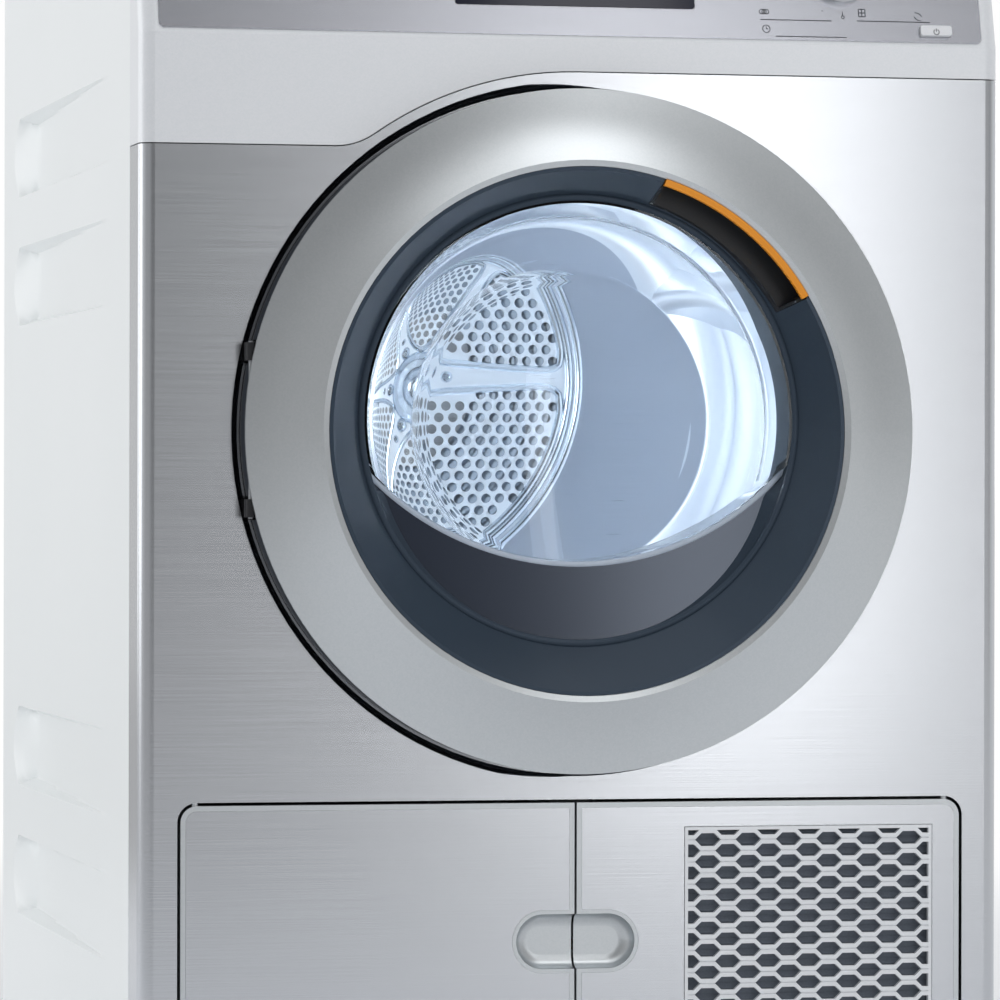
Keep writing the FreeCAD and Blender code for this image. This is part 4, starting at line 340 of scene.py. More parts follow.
def grow(name, tree, sizes, points=()):
    """Run a geometry tree on loose points and keep the result as a plain mesh."""
    mesh = bpy.data.meshes.new(name + "_points")
    mesh.from_pydata(list(points), [], [])
    piece = put(name, mesh)
    pattern = piece.modifiers.new("pattern", "NODES")
    pattern.node_group = tree
    for socket in tree.interface.items_tree:
        if socket.in_out == "INPUT" and socket.name in sizes:
            pattern[socket.identifier] = sizes[socket.name]
    return keep_mesh(piece)


def settle(piece, body):
    """Fix a finished piece to its body."""
    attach(piece, body)
    return piece


def centre_of(node):
    """Middle of a node's box."""
    return tuple((a + b) / 2 for a, b in zip(*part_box(node)))


back_low, back_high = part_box("drum_back")
wall_sizes = {
    "Disc Radius": (back_high[0] - back_low[0]) / 2, "Sheet": 0.0012, "Pitch": 0.0088, "Hole Radius": 0.0032,
    "Field Start": 0.037, "Field End": 0.1265, "Spoke Root": 0.0135, "Spoke Tip": 0.0078,
    "Depth": back_high[1], "Height": centre_of("drum_back")[2],
}
tree, size = new_pattern("punched_wall", wall_sizes)
add = partial(add_node, tree)
rows, columns = 36, 32
row_rise = math.sqrt(0.75)
wide = add("ShaderNodeMath", (size["Pitch"], columns - 1), operation="MULTIPLY")
high = add("ShaderNodeMath", (size["Pitch"], row_rise * (rows - 1)), operation="MULTIPLY")
grid = add("GeometryNodeMeshGrid", {
    "Size X": wide, "Size Y": high, "Vertices X": columns, "Vertices Y": rows})
index = add("GeometryNodeInputIndex")
odd = add("ShaderNodeMath", (index, 2.0), operation="MODULO")
half_pitch = add("ShaderNodeMath", (size["Pitch"], 0.5), operation="MULTIPLY")
shift = add("ShaderNodeMath", (odd, half_pitch), operation="MULTIPLY")
sideways = add("ShaderNodeCombineXYZ", {"X": shift})
staggered = add("GeometryNodeSetPosition", {"Geometry": grid, "Offset": sideways})
spot = add("GeometryNodeInputPosition")
reach = add("ShaderNodeVectorMath", (spot,), operation="LENGTH")
clear = None
for step in range(3):
    normal = (-math.sin(math.radians(60 * step)), math.cos(math.radians(60 * step)), 0)
    side = add("ShaderNodeVectorMath", (spot, normal), operation="DOT_PRODUCT")
    away = add("ShaderNodeMath", (side,), operation="ABSOLUTE")
    clear = add("ShaderNodeMath", (clear, away), operation="MINIMUM") if clear else away
spoke = add("ShaderNodeMapRange", {
    "Value": reach, "From Min": size["Field Start"], "From Max": size["Field End"],
    "To Min": size["Spoke Root"], "To Max": size["Spoke Tip"]})
tests = (
    (reach, size["Field Start"], "LESS_THAN"),
    (reach, size["Field End"], "GREATER_THAN"),
    (clear, spoke, "LESS_THAN"),
)
outside = None
for value, limit, kind in tests:
    test = add("ShaderNodeMath", (value, limit), operation=kind)
    outside = add("ShaderNodeMath", (outside, test), operation="MAXIMUM") if outside else test
field = add("GeometryNodeDeleteGeometry", {"Geometry": staggered, "Selection": outside}, domain="POINT")
punch_depth = add("ShaderNodeMath", (size["Sheet"], 3.0), operation="MULTIPLY")
punch = add("GeometryNodeMeshCylinder", {
    "Vertices": 14, "Radius": size["Hole Radius"], "Depth": punch_depth})
punches = add("GeometryNodeInstanceOnPoints", {"Points": field, "Instance": punch})
all_punches = add("GeometryNodeRealizeInstances", {"Geometry": punches})
disc = add("GeometryNodeMeshCylinder", {
    "Vertices": 160, "Radius": size["Disc Radius"], "Depth": size["Sheet"]})
punched = add("GeometryNodeMeshBoolean", {
    "Mesh 1": disc, "Mesh 2": all_punches}, operation="DIFFERENCE", solver="MANIFOLD")
half_sheet = add("ShaderNodeMath", (size["Sheet"], -0.5, size["Depth"]), operation="MULTIPLY_ADD")
home = add("ShaderNodeCombineXYZ", {"Y": half_sheet, "Z": size["Height"]})
stood = add("GeometryNodeTransform", {
    "Geometry": punched, "Translation": home, "Rotation": (math.radians(90), 0, 0)})

# The disc is satin rolled steel, a shade darker than the drum's bright wall. Inside its beads it is
# # paler and less metallic.
disc_steel, wall_tree, shader, place = start_finish("satin_disc_steel")
lines = grain(wall_tree, place, 0.05, 0.001)
rough = add_node(wall_tree, "ShaderNodeMapRange", {"Value": lines, "To Min": 0.26, "To Max": 0.31})
flat_place = add_node(wall_tree, "ShaderNodeMapping", {
    "Vector": place, "Location": (0, 0, -wall_sizes["Height"]), "Scale": (1, 0, 1)})
off_axis = add_node(wall_tree, "ShaderNodeVectorMath", (flat_place,), operation="LENGTH")
paler_end, satin_start = 0.128, 0.146
outer = add_node(wall_tree, "ShaderNodeMapRange", {
    "Value": off_axis, "From Min": paler_end, "From Max": satin_start})
tone = add_node(wall_tree, "ShaderNodeMix", {
    "Factor": outer, "A": shade(wall_tree, lines, "#dfe6ee", "#e6edf4"),
    "B": shade(wall_tree, lines, "#b9c0cc", "#c2c9d4")}, data_type="RGBA")
sheen = add_node(wall_tree, "ShaderNodeMapRange", {"Value": outer, "To Min": 0.6, "To Max": 1.0})
feed(shader, {"Base Color": tone, "Roughness": rough, "Metallic": sheen})
end_pattern(tree, stood, disc_steel)
punched_wall = settle(grow("punched_rear_wall", tree, wall_sizes), "drum")
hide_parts("drum_back")


def smooth_faces(mesh, degrees):
    """Smooth shading, apart from edges sharper than an angle."""
    mesh.polygons.foreach_set("use_smooth", [True] * len(mesh.polygons))
    mesh.set_sharp_from_angle(angle=math.radians(degrees))


def make_piece(name, shape, material, smooth=30):
    """A mesh piece of points and faces, turned outwards, smooth up to an angle in degrees."""
    points, faces = shape
    mesh = bpy.data.meshes.new(name)
    mesh.from_pydata(points, [], faces)
    work = bmesh.new()
    work.from_mesh(mesh)
    bmesh.ops.remove_doubles(work, verts=work.verts, dist=1e-6)
    bmesh.ops.recalc_face_normals(work, faces=work.faces)
    work.to_mesh(mesh)
    work.free()
    smooth_faces(mesh, smooth)
    mesh.materials.append(material)
    return put(name, mesh)


def add_rows(shape, rows, closed=True, ends=False):
    """Quads between rows of points of one length, joined round when closed, with end faces when asked."""
    points, faces = shape
    start = len(points)
    count = len(rows[0])
    for row in rows:
        points.extend(row)
    for low in range(len(rows) - 1):
        for step in range(count if closed else count - 1):
            after = (step + 1) % count
            first = start + low * count
            second = first + count
            faces.append((first + step, first + after, second + after, second + step))
    if ends:
        faces.append(tuple(range(start, start + count)))
        faces.append(tuple(range(len(points) - count, len(points))))
    return shape


def turned_rows(centre, profile, segments=96):
    """Rows of points for a profile of (radius, height towards the front) round an axis from front to back."""
    turns = [2 * math.pi * step / segments for step in range(segments)]
    return [
        [(centre[0] + r * math.cos(t), centre[1] - h, centre[2] + r * math.sin(t)) for t in turns]
        for r, h in profile
    ]


def add_bead(shape, path, half, high):
    """A half round bead, closed along a path of (width, height) on the wall's front."""
    profile = [(math.cos(math.pi * k / 6), math.sin(math.pi * k / 6)) for k in range(7)]
    bead = []
    for before, here, after in zip(path[-1:] + path, path, path[1:] + path[:1]):
        run = math.hypot(after[0] - before[0], after[1] - before[1])
        side_x, side_z = -(after[1] - before[1]) / run * half, (after[0] - before[0]) / run * half
        bead.append([
            (hub[0] + here[0] + side_x * u, hub[1] + sunk - high * v, hub[2] + here[1] + side_z * u)
            for u, v in profile
        ])
    add_rows(shape, bead + bead[:1])


hub = (0.0, back_high[1] - wall_sizes["Sheet"], wall_sizes["Height"])
sunk = 0.0002
star = [], []
dome = [
    (0.0335, -0.0005), (0.0325, 0.0016), (0.0295, 0.0044), (0.0265, 0.0056), (0.0235, 0.005),
    (0.0205, 0.003), (0.018, 0.0028), (0.0155, 0.006), (0.0125, 0.0076), (0.0085, 0.008),
    (0.0065, 0.007), (0.005, 0.0034), (0.001, 0.0034), (0.001, -0.0005),
]
add_rows(star, turned_rows(hub, dome + dome[:1]))
ring_bead_half, ring_bead_high, star_bead_half, star_bead_high = 0.0027, 0.0025, 0.0026, 0.0027
turns = [math.pi * k / 72 for k in range(144)]
for radius in (0.1345, 0.1415):
    ring_path = [(radius * math.cos(t), radius * math.sin(t)) for t in turns]
    add_bead(star, ring_path, ring_bead_half, ring_bead_high)
rivet = [
    (0.0064, -0.0003), (0.0061, 0.0018), (0.0051, 0.0032), (0.004, 0.0034),
    (0.0031, 0.0026), (0.0027, 0.0004), (0.0002, 0.0004), (0.0002, -0.0003),
]
rivet_places = ((0.0385, 1.0), (0.053, 0.6))
field_edge = 0.13
next_spoke = Matrix.Rotation(math.radians(60), 2)
for step in range(6):
    spoke_turn = Matrix.Rotation(math.radians(60 * step), 2)
    border = [(0.035, 0.0105), (0.086, 0.0072), (0.1265, 0.0046)]
    arc = [math.radians(a) for a in range(7, 54, 4)]
    border += [(field_edge * math.cos(a), field_edge * math.sin(a)) for a in arc]
    border += [tuple(next_spoke @ Vector((x, -z))) for x, z in border[2::-1]]
    # Cutting the corners twice rounds the border of a field.
    for _ in range(2):
        border = [
            (a[0] + part * (b[0] - a[0]), a[1] + part * (b[1] - a[1]))
            for a, b in zip(border, border[1:] + border[:1]) for part in (0.25, 0.75)
        ]
    add_bead(star, [tuple(spoke_turn @ Vector(spot)) for spot in border], star_bead_half, star_bead_high)
    for radius, scale in rivet_places:
        home = spoke_turn @ Vector((radius, 0))
        profile = [(r * scale, h * scale) for r, h in rivet]
        add_rows(star, turned_rows((hub[0] + home.x, hub[1], hub[2] + home.y), profile + profile[:1], 20))
# The pressed shapes are rubbed bright on their crests, so they throw sharp lights and darks.
polished = finish("polished_pressed_steel", "#ccd5df", "#dbe3eb", (0.1, 0.17), lines=(0.02, 0.0008),
                  metal=1.0)
settle(make_piece("pressed_star", star, polished), "drum")

# Rounded corner of the drum: the bright sheet runs in a wide curve from the rear wall into the drum's side,
# where it is seamed to the shell.
shell_low, shell_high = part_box("drum_shell")
curve_start, curve_deep, curve_steps, seam_gap = 0.221, 0.062, 16, 0.0003
shell_inner = (shell_high[0] - shell_low[0]) / 2 - wall_sizes["Sheet"] - seam_gap
bends = [math.pi / 2 * k / curve_steps for k in range(curve_steps + 1)]
curve_wide = shell_inner - curve_start
corner = [(curve_start + curve_wide * math.sin(b), sunk + curve_deep * (1 - math.cos(b))) for b in bends]
rounded = add_rows(([], []), turned_rows(hub, corner + [(shell_inner, sunk), corner[0]], 160))
settle(make_piece("rounded_drum_corner", rounded, bright), "drum")

# Air guide rings: pressed rings that overlap like louvres in front of the bulkhead's air openings. They
# stand still, just behind the drum's rear wall, and show as light ground behind its holes.
# Blue grey enamel, with a soft gloss and low waves of about 6 mm.
grey_enamel = finish("blue_grey_enamel", "#8391a1", "#92a0af", 0.4, cloud=(0.006, 2))
first_ring, ring_step, ring_wide, ring_sheet = 0.0712, 0.0125, 0.015, 0.0008
ring_near, ring_far = -0.0045, -0.009
rings = [], []
for step in range(10):
    inner = first_ring + ring_step * step
    outer = inner + ring_wide
    louvre = [(inner, ring_far), (outer, ring_near)]
    louvre += [(radius, level + ring_sheet) for radius, level in louvre[::-1]]
    add_rows(rings, turned_rows(hub, louvre + louvre[:1], 120))
settle(make_piece("air_guide_rings", rings, grey_enamel), "cabinet")

# Side panels: folded steel sheets with four long finger scoops pressed in, that deepen to the back and end
# in a rounded wall. Zinc plated, then powder coated white.
# The baked powder leaves a faint orange peel of about 2 mm and a soft gloss.
powder, tree, shader, place = start_finish("powder_coated_steel")
add = partial(add_node, tree)
peel = add("ShaderNodeTexNoise", {"Vector": place, "Scale": 1 / 0.002, "Detail": 1.0})
drift = add("ShaderNodeTexNoise", {"Vector": place, "Scale": 1 / 0.4, "Detail": 2.0})
bump = add("ShaderNodeBump", {"Height": peel, "Strength": 0.03, "Distance": 0.0004})
feed(shader, {"Base Color": shade(tree, drift, "#eef2f2", "#f4f7f7"), "Roughness": 0.38, "Normal": bump})

scoop_middles = (0.132, 0.231, 0.582, 0.6805)
scoop_half, scoop_depth, scoop_start, scoop_end = 0.03, 0.013, 0.134, 0.592
scoop_bulge, scoop_slope, scoop_rim, least_fall = 0.035, 0.025, 0.16, 0.004
side_sheet, side_flange = 0.001, 0.013
fine_start, fine_end = 0.58, 0.63
front_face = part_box("front_panel")[0][1]


def scoop_at(depth, height):
    """How far the sheet is pressed in at a depth behind the front and a height."""
    for middle in scoop_middles:
        v = (height - middle) / scoop_half
        if abs(v) < 1:
            bow = 1 - v * v
            end = scoop_end + scoop_bulge * bow
            deepest = scoop_end - scoop_slope * bow
            ramp = scoop_depth * (depth - scoop_start) / (deepest - scoop_start)
            fall = scoop_depth * (end - depth) / max(end - deepest, least_fall)
            wall = scoop_depth * (1 - abs(v)) / scoop_rim
            return max(0.0, min(ramp, fall, wall))
    return 0.0


def side_skin(name, node, sign):
    """One pressed side sheet with its three folded flanges."""
    low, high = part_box(node)
    face_x = high[0] if sign > 0 else low[0]
    inner = face_x - sign * side_sheet
    fold = inner - sign * side_flange
    near, far = fine_start + front_face, fine_end + front_face
    deep = [low[1] + (near - low[1]) * k / 52 for k in range(52)]
    deep += [near + (far - near) * k / 24 for k in range(24)]
    deep += [far + (high[1] - far) * k / 5 for k in range(6)]
    levels = [low[2], high[2]]
    for middle in scoop_middles:
        levels += [middle + scoop_half * k / 20 for k in range(-21, 22)]
    levels = sorted(levels)
    shape = [], []
    outside = [[(face_x - sign * scoop_at(y - front_face, z), y, z) for y in deep] for z in levels]
    inside = [[(x - sign * side_sheet, y, z) for x, y, z in row] for row in outside]
    for rows in (outside, inside, [outside[0], inside[0]], [outside[-1], inside[-1]]):
        add_rows(shape, rows, closed=False)
    for end in (0, -1):
        add_rows(shape, [[row[end] for row in outside], [row[end] for row in inside]], closed=False)
    flanges = (
        (low[1], low[1] + side_sheet, low[2]),
        (high[1] - side_sheet, high[1], low[2]),
        (low[1], high[1], high[2] - side_sheet),
    )
    for y0, y1, z0 in flanges:
        ring = [(y0, z0), (y1, z0), (y1, high[2]), (y0, high[2])]
        add_rows(shape, [[(x, y, z) for y, z in ring] for x in (inner, fold)], ends=True)
    skin = settle(make_piece(name, shape, powder), "cabinet")
    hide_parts(node)


side_skin("pressed_side_left", "side_panel_left", -1)
side_skin("pressed_side_right", "side_panel_right", 1)

# Steel front: one folded stainless sheet with a dished door opening, ground with a belt from side to side.
# The grain is drawn about 1 mm wide, coarser than the real one, to show at this size.
ground = finish("ground_stainless_steel", "#c8cbd0", "#d0d3d8", (0.19, 0.25), lines=(0.09, 0.0009),
                relief=(0.05, 0.0003), metal=1.0)
dress(ground, "front_panel")


# The edge of the dish is rolled inwards to a narrow lip that leaves a thin gap round the door, apart from the
# hinge side, where the gap stays wide.
def around(axis, way, section):
    """A section of (radius, depth) at an angle round an axis at a height."""
    return [(r * math.cos(way), y, axis + r * math.sin(way)) for r, y in section]


def sweep(name, rows, material, body):
    """A bar through sections in a row, closed at both ends and fixed to its body."""
    settle(make_piece(name, add_rows(([], []), rows, ends=True), material), body)


door_axis = 0.465
lip_start, lip_end, lip_taper, thin_end = -105, 100, 14, 0.02
dish_edge, lip_wide, lip_round, lip_root, lip_foot = 0.2358, 0.0042, 0.0006, 0.2359, 0.2354
lip_front, lip_back = front_face + 0.0001, front_face + 0.0012
lip_rows = []
for degrees in range(lip_start, lip_end + 1):
    share = min(1.0, (degrees - lip_start) / lip_taper, (lip_end - degrees) / lip_taper)
    inner = dish_edge - lip_wide * max(share, thin_end)
    section = (
        (lip_root, lip_front), (inner + lip_round, lip_front), (inner, front_face + lip_round),
        (inner + lip_round, lip_back), (lip_foot, lip_back),
    )
    lip_rows.append(around(door_axis, math.radians(degrees), section))
sweep("rolled_dish_lip", lip_rows, ground, "cabinet")

# Back: a galvanised sheet with louvres, the domed cover of the warm air duct on a screwed flange, a cable
# gland and a drain spigot.
dress(zinc, "rear_panel", "rear_cover")
dress(black, "rear_connections")

# Rear screws: pan heads with a cross recess, 7.5 mm wide, round the sheet's edge and the flange, each stopped
# at its own angle.
# Zinc plating gives a bright, slightly cloudy shine in patches of about 3 mm.
plated = finish("zinc_plated_screws", "#8d8f8e", "#b5b6b2", 0.3, cloud=(0.003, 3), metal=1.0)
screw_sizes = {"Head Radius": 0.00375, "Head Height": 0.0022, "Recess Length": 0.004, "Recess Width": 0.0009}
tree, size = new_pattern("rear_screws", screw_sizes)
add = partial(add_node, tree)
flatten = add("ShaderNodeMath", (size["Head Height"], size["Head Radius"]), operation="DIVIDE")
squat = add("ShaderNodeCombineXYZ", (1.0, 1.0, flatten))
ball = add("GeometryNodeMeshUVSphere", {"Segments": 20, "Rings": 10, "Radius": size["Head Radius"]})
carved = add("GeometryNodeTransform", {"Geometry": ball, "Scale": squat})
recess_depth = add("ShaderNodeMath", (size["Head Height"], 1.2), operation="MULTIPLY")
raised = add("ShaderNodeCombineXYZ", {"Z": size["Head Height"]})
for along_x, along_y in (("Recess Length", "Recess Width"), ("Recess Width", "Recess Length")):
    bar = add("ShaderNodeCombineXYZ", (size[along_x], size[along_y], recess_depth))
    cutter = add("GeometryNodeMeshCube", {"Size": bar})
    lifted = add("GeometryNodeTransform", {"Geometry": cutter, "Translation": raised})
    carved = add("GeometryNodeMeshBoolean", {
        "Mesh 1": carved, "Mesh 2": lifted}, operation="DIFFERENCE", solver="MANIFOLD")
turn_angle = add("FunctionNodeRandomValue", {"Min": 0.0, "Max": 3.0, "Seed": 7}, data_type="FLOAT")
pose = add("ShaderNodeCombineXYZ", {"X": math.radians(-90), "Y": turn_angle})
placed = add("GeometryNodeInstanceOnPoints", {
    "Points": size["Geometry"], "Instance": carved, "Rotation": pose})
end_pattern(tree, placed, plated)
panel_low, panel_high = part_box("rear_panel")
cover_low, cover_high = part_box("rear_cover")
edge, flange_edge, flange_sheet = 0.009, 0.007, 0.0015
edge_columns = (panel_low[0] + edge, panel_high[0] - edge)
edge_levels, inner_columns, end_levels = (0.05, 0.24, 0.43, 0.62, 0.81), (-0.16, 0.0, 0.16), (0.028, 0.81)
spots = [(x, panel_high[1], z) for x in edge_columns for z in edge_levels]
spots += [(x, panel_high[1], z) for x in inner_columns for z in end_levels]
cover_middle = Vector((0, panel_high[1] + flange_sheet, centre_of("rear_cover")[2]))
flange = (cover_high[0] - cover_low[0]) / 2 - flange_edge
for degrees in range(18, 378, 36):
    way = Vector((math.cos(math.radians(degrees)), 0, math.sin(math.radians(degrees))))
    spots.append(tuple(cover_middle + flange * way))
settle(grow("rear_screws", tree, screw_sizes, spots), "cabinet")

# Lid: a chipboard worktop with a rounded front edge, laminated white and set on the cabinet.
# The laminate's fine pearl of about 0.8 mm keeps its shine soft.
laminate = finish("white_laminate", "#f0f2f2", "#f5f7f7", 0.42, cloud=(0.0008, 2), relief=(0.05, 0.0002))
dress(laminate, "lid")

# Fascia: one ABS moulding, bent back above the door, sprayed satin silver.
# The lacquer holds aluminium flakes, drawn about 1 mm wide, that vary the gloss a little.
silver = finish("silver_lacquered_abs", "#e6e9ec", "#eaecef", (0.34, 0.37), flakes=0.0011, metal=0.2)
dress(silver, "fascia")

# Control plate: aluminium sheet let into the tilted face, round a dark tinted display. It is brushed from
# side to side, in lines drawn 0.7 mm wide, coarser than the real ones, to show at this size.
brushed = finish("brushed_aluminium", "#b4b6be", "#c0c2c9", (0.2, 0.28), lines=(0.05, 0.0007), metal=1.0)
dress(brushed, "control_plate")

# The display's acrylic is nearly black, with a slow blue drift.
tinted = finish("tinted_acrylic", "#161827", "#1e2133", 0.08, cloud=(0.05, 2),
                looks={"Specular IOR Level": 0.2})
dress(tinted, "display_window")
dress(black, "control_board")

# Signs on the control plate: thin lines and plain pictures, such as a clock and a leaf, printed in dark ink.
# The ink film is a fraction of a millimetre thick and slightly matt.
ink = finish("printed_ink", "#33363c", "#3f4248", 0.5, cloud=(0.0006, 2))
tilt = math.radians(15)
bend = 0.729
plate_out = 0.0008
film_low, film_high = -0.0001, 0.00012


def on_plate(x, z, out=0.0):
    """A point on the control plate at a width and a height, raised by a film."""
    lift = plate_out + out
    up = (z - bend) / math.cos(tilt) - lift * math.tan(tilt)
    return (
        x,
        front_face + up * math.sin(tilt) - lift * math.cos(tilt),
        bend + up * math.cos(tilt) + lift * math.sin(tilt),
    )


def print_line(shape, path, width, lift=on_plate):
    """A printed stroke along a path on the plate."""
    for (x0, z0), (x1, z1) in zip(path, path[1:]):
        run = math.hypot(x1 - x0, z1 - z0)
        across_x, across_z = -(z1 - z0) / run * width / 2, (x1 - x0) / run * width / 2
        corners = [(x0 + across_x, z0 + across_z), (x1 + across_x, z1 + across_z),
                   (x1 - across_x, z1 - across_z), (x0 - across_x, z0 - across_z)]
        add_rows(shape, [[lift(x, z, out) for x, z in corners] for out in (film_low, film_high)], ends=True)


def arc_path(x, z, radius, first, last, count=16):
    """A path round a middle, from one angle in degrees to another."""
    turns = [math.radians(first + (last - first) * k / count) for k in range(count + 1)]
    return [(x + radius * math.cos(t), z + radius * math.sin(t)) for t in turns]


signs = [], []
stroke, thin_stroke = 0.0006, 0.00055
for left, right, height in ((0.1288, 0.1789, 0.746), (0.197, 0.249, 0.7464), (0.1388, 0.1888, 0.7346)):
    print_line(signs, [(left, height), (right, height)], stroke)
pictures = (
    # coil of warm air
    tuple(arc_path(0.13 + 0.0017 * turn, 0.7515, 0.0016, 0, 360, 12) for turn in range(3)),
    # clock
    (arc_path(0.1325, 0.7396, 0.0026, 0, 360), [(0.1325, 0.7413), (0.1325, 0.7396), (0.1338, 0.7396)]),
    # dot
    ([(0.1724, 0.7529), (0.1732, 0.7529)], [(0.1728, 0.7525), (0.1728, 0.7533)]),
    # thermometer
    ([(0.1872, 0.7496), (0.1872, 0.7526)], arc_path(0.1872, 0.7488, 0.001, 0, 360)),
    # window with a cross bar
    ([(0.1985, 0.7494), (0.2031, 0.7494), (0.2031, 0.7546), (0.1985, 0.7546), (0.1985, 0.7494)],
     [(0.1985, 0.752), (0.2031, 0.752)], [(0.2008, 0.7494), (0.2008, 0.7546)]),
    # leaf
    (arc_path(0.239, 0.7484, 0.0046, 25, 95, 8), arc_path(0.2422, 0.7521, 0.0046, 205, 275, 8)),
)
for picture in pictures:
    for path in picture:
        print_line(signs, path, thin_stroke)
# Marks round the selector, thirty degrees apart.
knob_x = centre_of("selector_knob")[0]
knob_up, mark_start, mark_end = 0.0538, 0.0255, 0.0285
knob_z = bend + knob_up * math.cos(tilt)
for degrees in range(-120, 121, 30):
    across, up = math.sin(math.radians(degrees)), math.cos(math.radians(degrees))
    print_line(signs, [(knob_x + across * r, knob_z + up * r) for r in (mark_start, mark_end)], stroke)
settle(make_piece("printed_signs", signs, ink), "cabinet")

# Selector and buttons: moulded in satin white ABS with soft edges. The selector has a dark pointer line and
# the power button the usual sign of a ring and a stroke.
satin = finish("satin_white_abs", "#e4e6e9", "#ecedf0", 0.3, cloud=(0.01, 2), metal=0.1)
dress(satin, "selector_knob", "power_button", "start_button")


def on_crown(height):
    """Printing on a face that stands a height above the plate."""
    return lambda x, z, out: on_plate(x, z, height + out)


knob_gap, knob_tall = 0.0003, 0.017
pointer_start, pointer_end, pointer_wide = 0.0098, 0.0132, 0.0016
pointer = [], []
pointer_path = [(knob_x - reach, knob_z + reach) for reach in (pointer_start, pointer_end)]
print_line(pointer, pointer_path, pointer_wide, on_crown(knob_gap + knob_tall))
settle(make_piece("selector_pointer", pointer, ink), "selector")

power_x = centre_of("power_button")[0]
power_up, power_tall, power_stroke, power_ring = 0.0109, 0.0035, 0.0005, 0.0019
power_z = bend + power_up * math.cos(tilt)
power_bar = [(power_x, power_z + z) for z in (0.0002, 0.0024)]
sign = [], []
for path in (arc_path(power_x, power_z, power_ring, 125, 415), power_bar):
    print_line(sign, path, power_stroke, on_crown(power_tall))
settle(make_piece("power_sign", sign, ink), "power")

# Loading port, seal, hinge and lock: a dark ABS collar leads into the drum, behind a rubber lip seal. The
# hinge bracket and the lock case sit behind the steel dish and reach through it.
# The collar's mould has a fine grain of about 1.4 mm, so it shines softly.
dark = finish("dark_grey_abs", "#30353e", "#3b414b", 0.4, cloud=(0.0014, 3))
dress(dark, "loading_port")
dress(rubber, "door_seal")
dress(black, "door_lock", "flap_fittings")
dress(enamel, "door_hinge_bracket")
dress(bare, "hinge_pin")

# Door: a dark rear frame carries the glass, the surround and the ring. The ring is satin silver ABS, the
# surround and the apron under the window are glossy slate, the grip is a black cup with an orange lip.
# The ring's lacquer has flakes of about 1 mm and shines nearly like metal.
dress(dark, "door_frame")
satin_ring = finish("satin_silver_ring", "#cbd0d3", "#d0d4d7", (0.32, 0.35), flakes=0.0011, metal=0.92)
dress(satin_ring, "door_ring")

# Polished slate ABS has a cool shine, with a slow drift of its tone over 80 mm.
cool_shine = srgb("#c3cddd")
slate = finish("gloss_slate_abs", "#35404c", "#3e4955", 0.2, cloud=(0.08, 2),
               looks={"Specular IOR Level": 0.22, "Specular Tint": cool_shine})
dress(slate, "window_surround")

# The apron has a harder, glossier lacquer that mirrors the room.
lacquer = finish("slate_lacquer", "#131b2a", "#18202f", 0.14, cloud=(0.08, 2),
                 looks={"IOR": 1.75, "Specular Tint": cool_shine})
dress(lacquer, "window_apron")

# The grip strip is moulded in orange ABS with a soft gloss.
orange = finish("orange_abs", "#ee9418", "#f49d24", 0.32, cloud=(0.03, 2))
dress(orange, "grip_strip")
dress(black, "grip_cup")

# Window glass: a bowl of pressed glass, held by its rim in the surround and cut off below, where it rests on
# the apron. Pressing leaves slow waves of about 50 mm in its shine.
glass, tree, shader, place = start_finish("pressed_window_glass")
add = partial(add_node, tree)
wave = add("ShaderNodeTexNoise", {"Vector": place, "Scale": 1 / 0.05, "Detail": 1.0})
rough = add("ShaderNodeMapRange", {"Value": wave, "To Min": 0.0, "To Max": 0.02})
feed(shader, {
    "Base Color": srgb("#f6fbfd"), "Roughness": rough, "Transmission Weight": 1.0, "IOR": 1.5,
    "Specular Tint": srgb("#a8acb0")})
dress(glass, "door_glass")

window_axis = 0.4727
window_front = (0.0, front_face, window_axis)
apron_middle = (0.0, front_face, 0.574)
apron_radius = 0.2
glass_radius, glass_depth, glass_wall, glass_gap = 0.15, 0.062, 0.004, 0.0003
rim_out, rim_back, rim_radius, rim_gap = 0.01, 0.006, 0.172, 0.0001
side_lean, side_deep, corner_wide, corner_deep = 0.009, 0.036, 0.038, 0.022
room_inner, room_outer, room_front, room_back, bowl_back = 0.195, 0.24, 0.012, -0.003, -0.07


def cut_by(piece, tool, how):
    """Cut a piece by a helper piece that is then thrown away."""
    step = piece.modifiers.new("cut", "BOOLEAN")
    step.operation = how
    step.solver = "MANIFOLD"
    step.object = tool
    keep_mesh(piece)
    bpy.data.objects.remove(tool)
    return piece


def bowl_solid(name, wall):
    """The bowl as a solid of revolution, shrunk by a wall, and cut off below by the apron's arc."""
    lip = glass_radius - wall
    floor = lip - side_lean - corner_wide
    corner_start = rim_out - side_deep
    corner_end = corner_start - corner_deep
    deep = glass_depth - wall + corner_end
    dome_radius = (floor * floor + deep * deep) / (2 * deep)
    profile = [(lip, rim_out + wall / 8)]
    profile += [(lip - side_lean * k / 6, rim_out - side_deep * k / 6) for k in range(1, 6)]
    turns = [math.pi / 2 * k / 36 for k in range(37)]
    profile += [(floor + corner_wide * math.cos(t), corner_start - corner_deep * math.sin(t)) for t in turns]
    for k in range(1, 15):
        r = floor * (1 - k / 14.4)
        profile.append((r, corner_end - deep + dome_radius - math.sqrt(dome_radius * dome_radius - r * r)))
    bowl = add_rows(([], []), turned_rows(window_front, profile, 192), ends=True)
    radius = apron_radius - glass_gap - wall
    reach = [(radius, room_front + wall), (radius, bowl_back)]
    room = add_rows(([], []), turned_rows(apron_middle, reach, 288), ends=True)
    return cut_by(make_piece(name, bowl, glass, 40), make_piece(name + "_cut", room, glass), "INTERSECT")


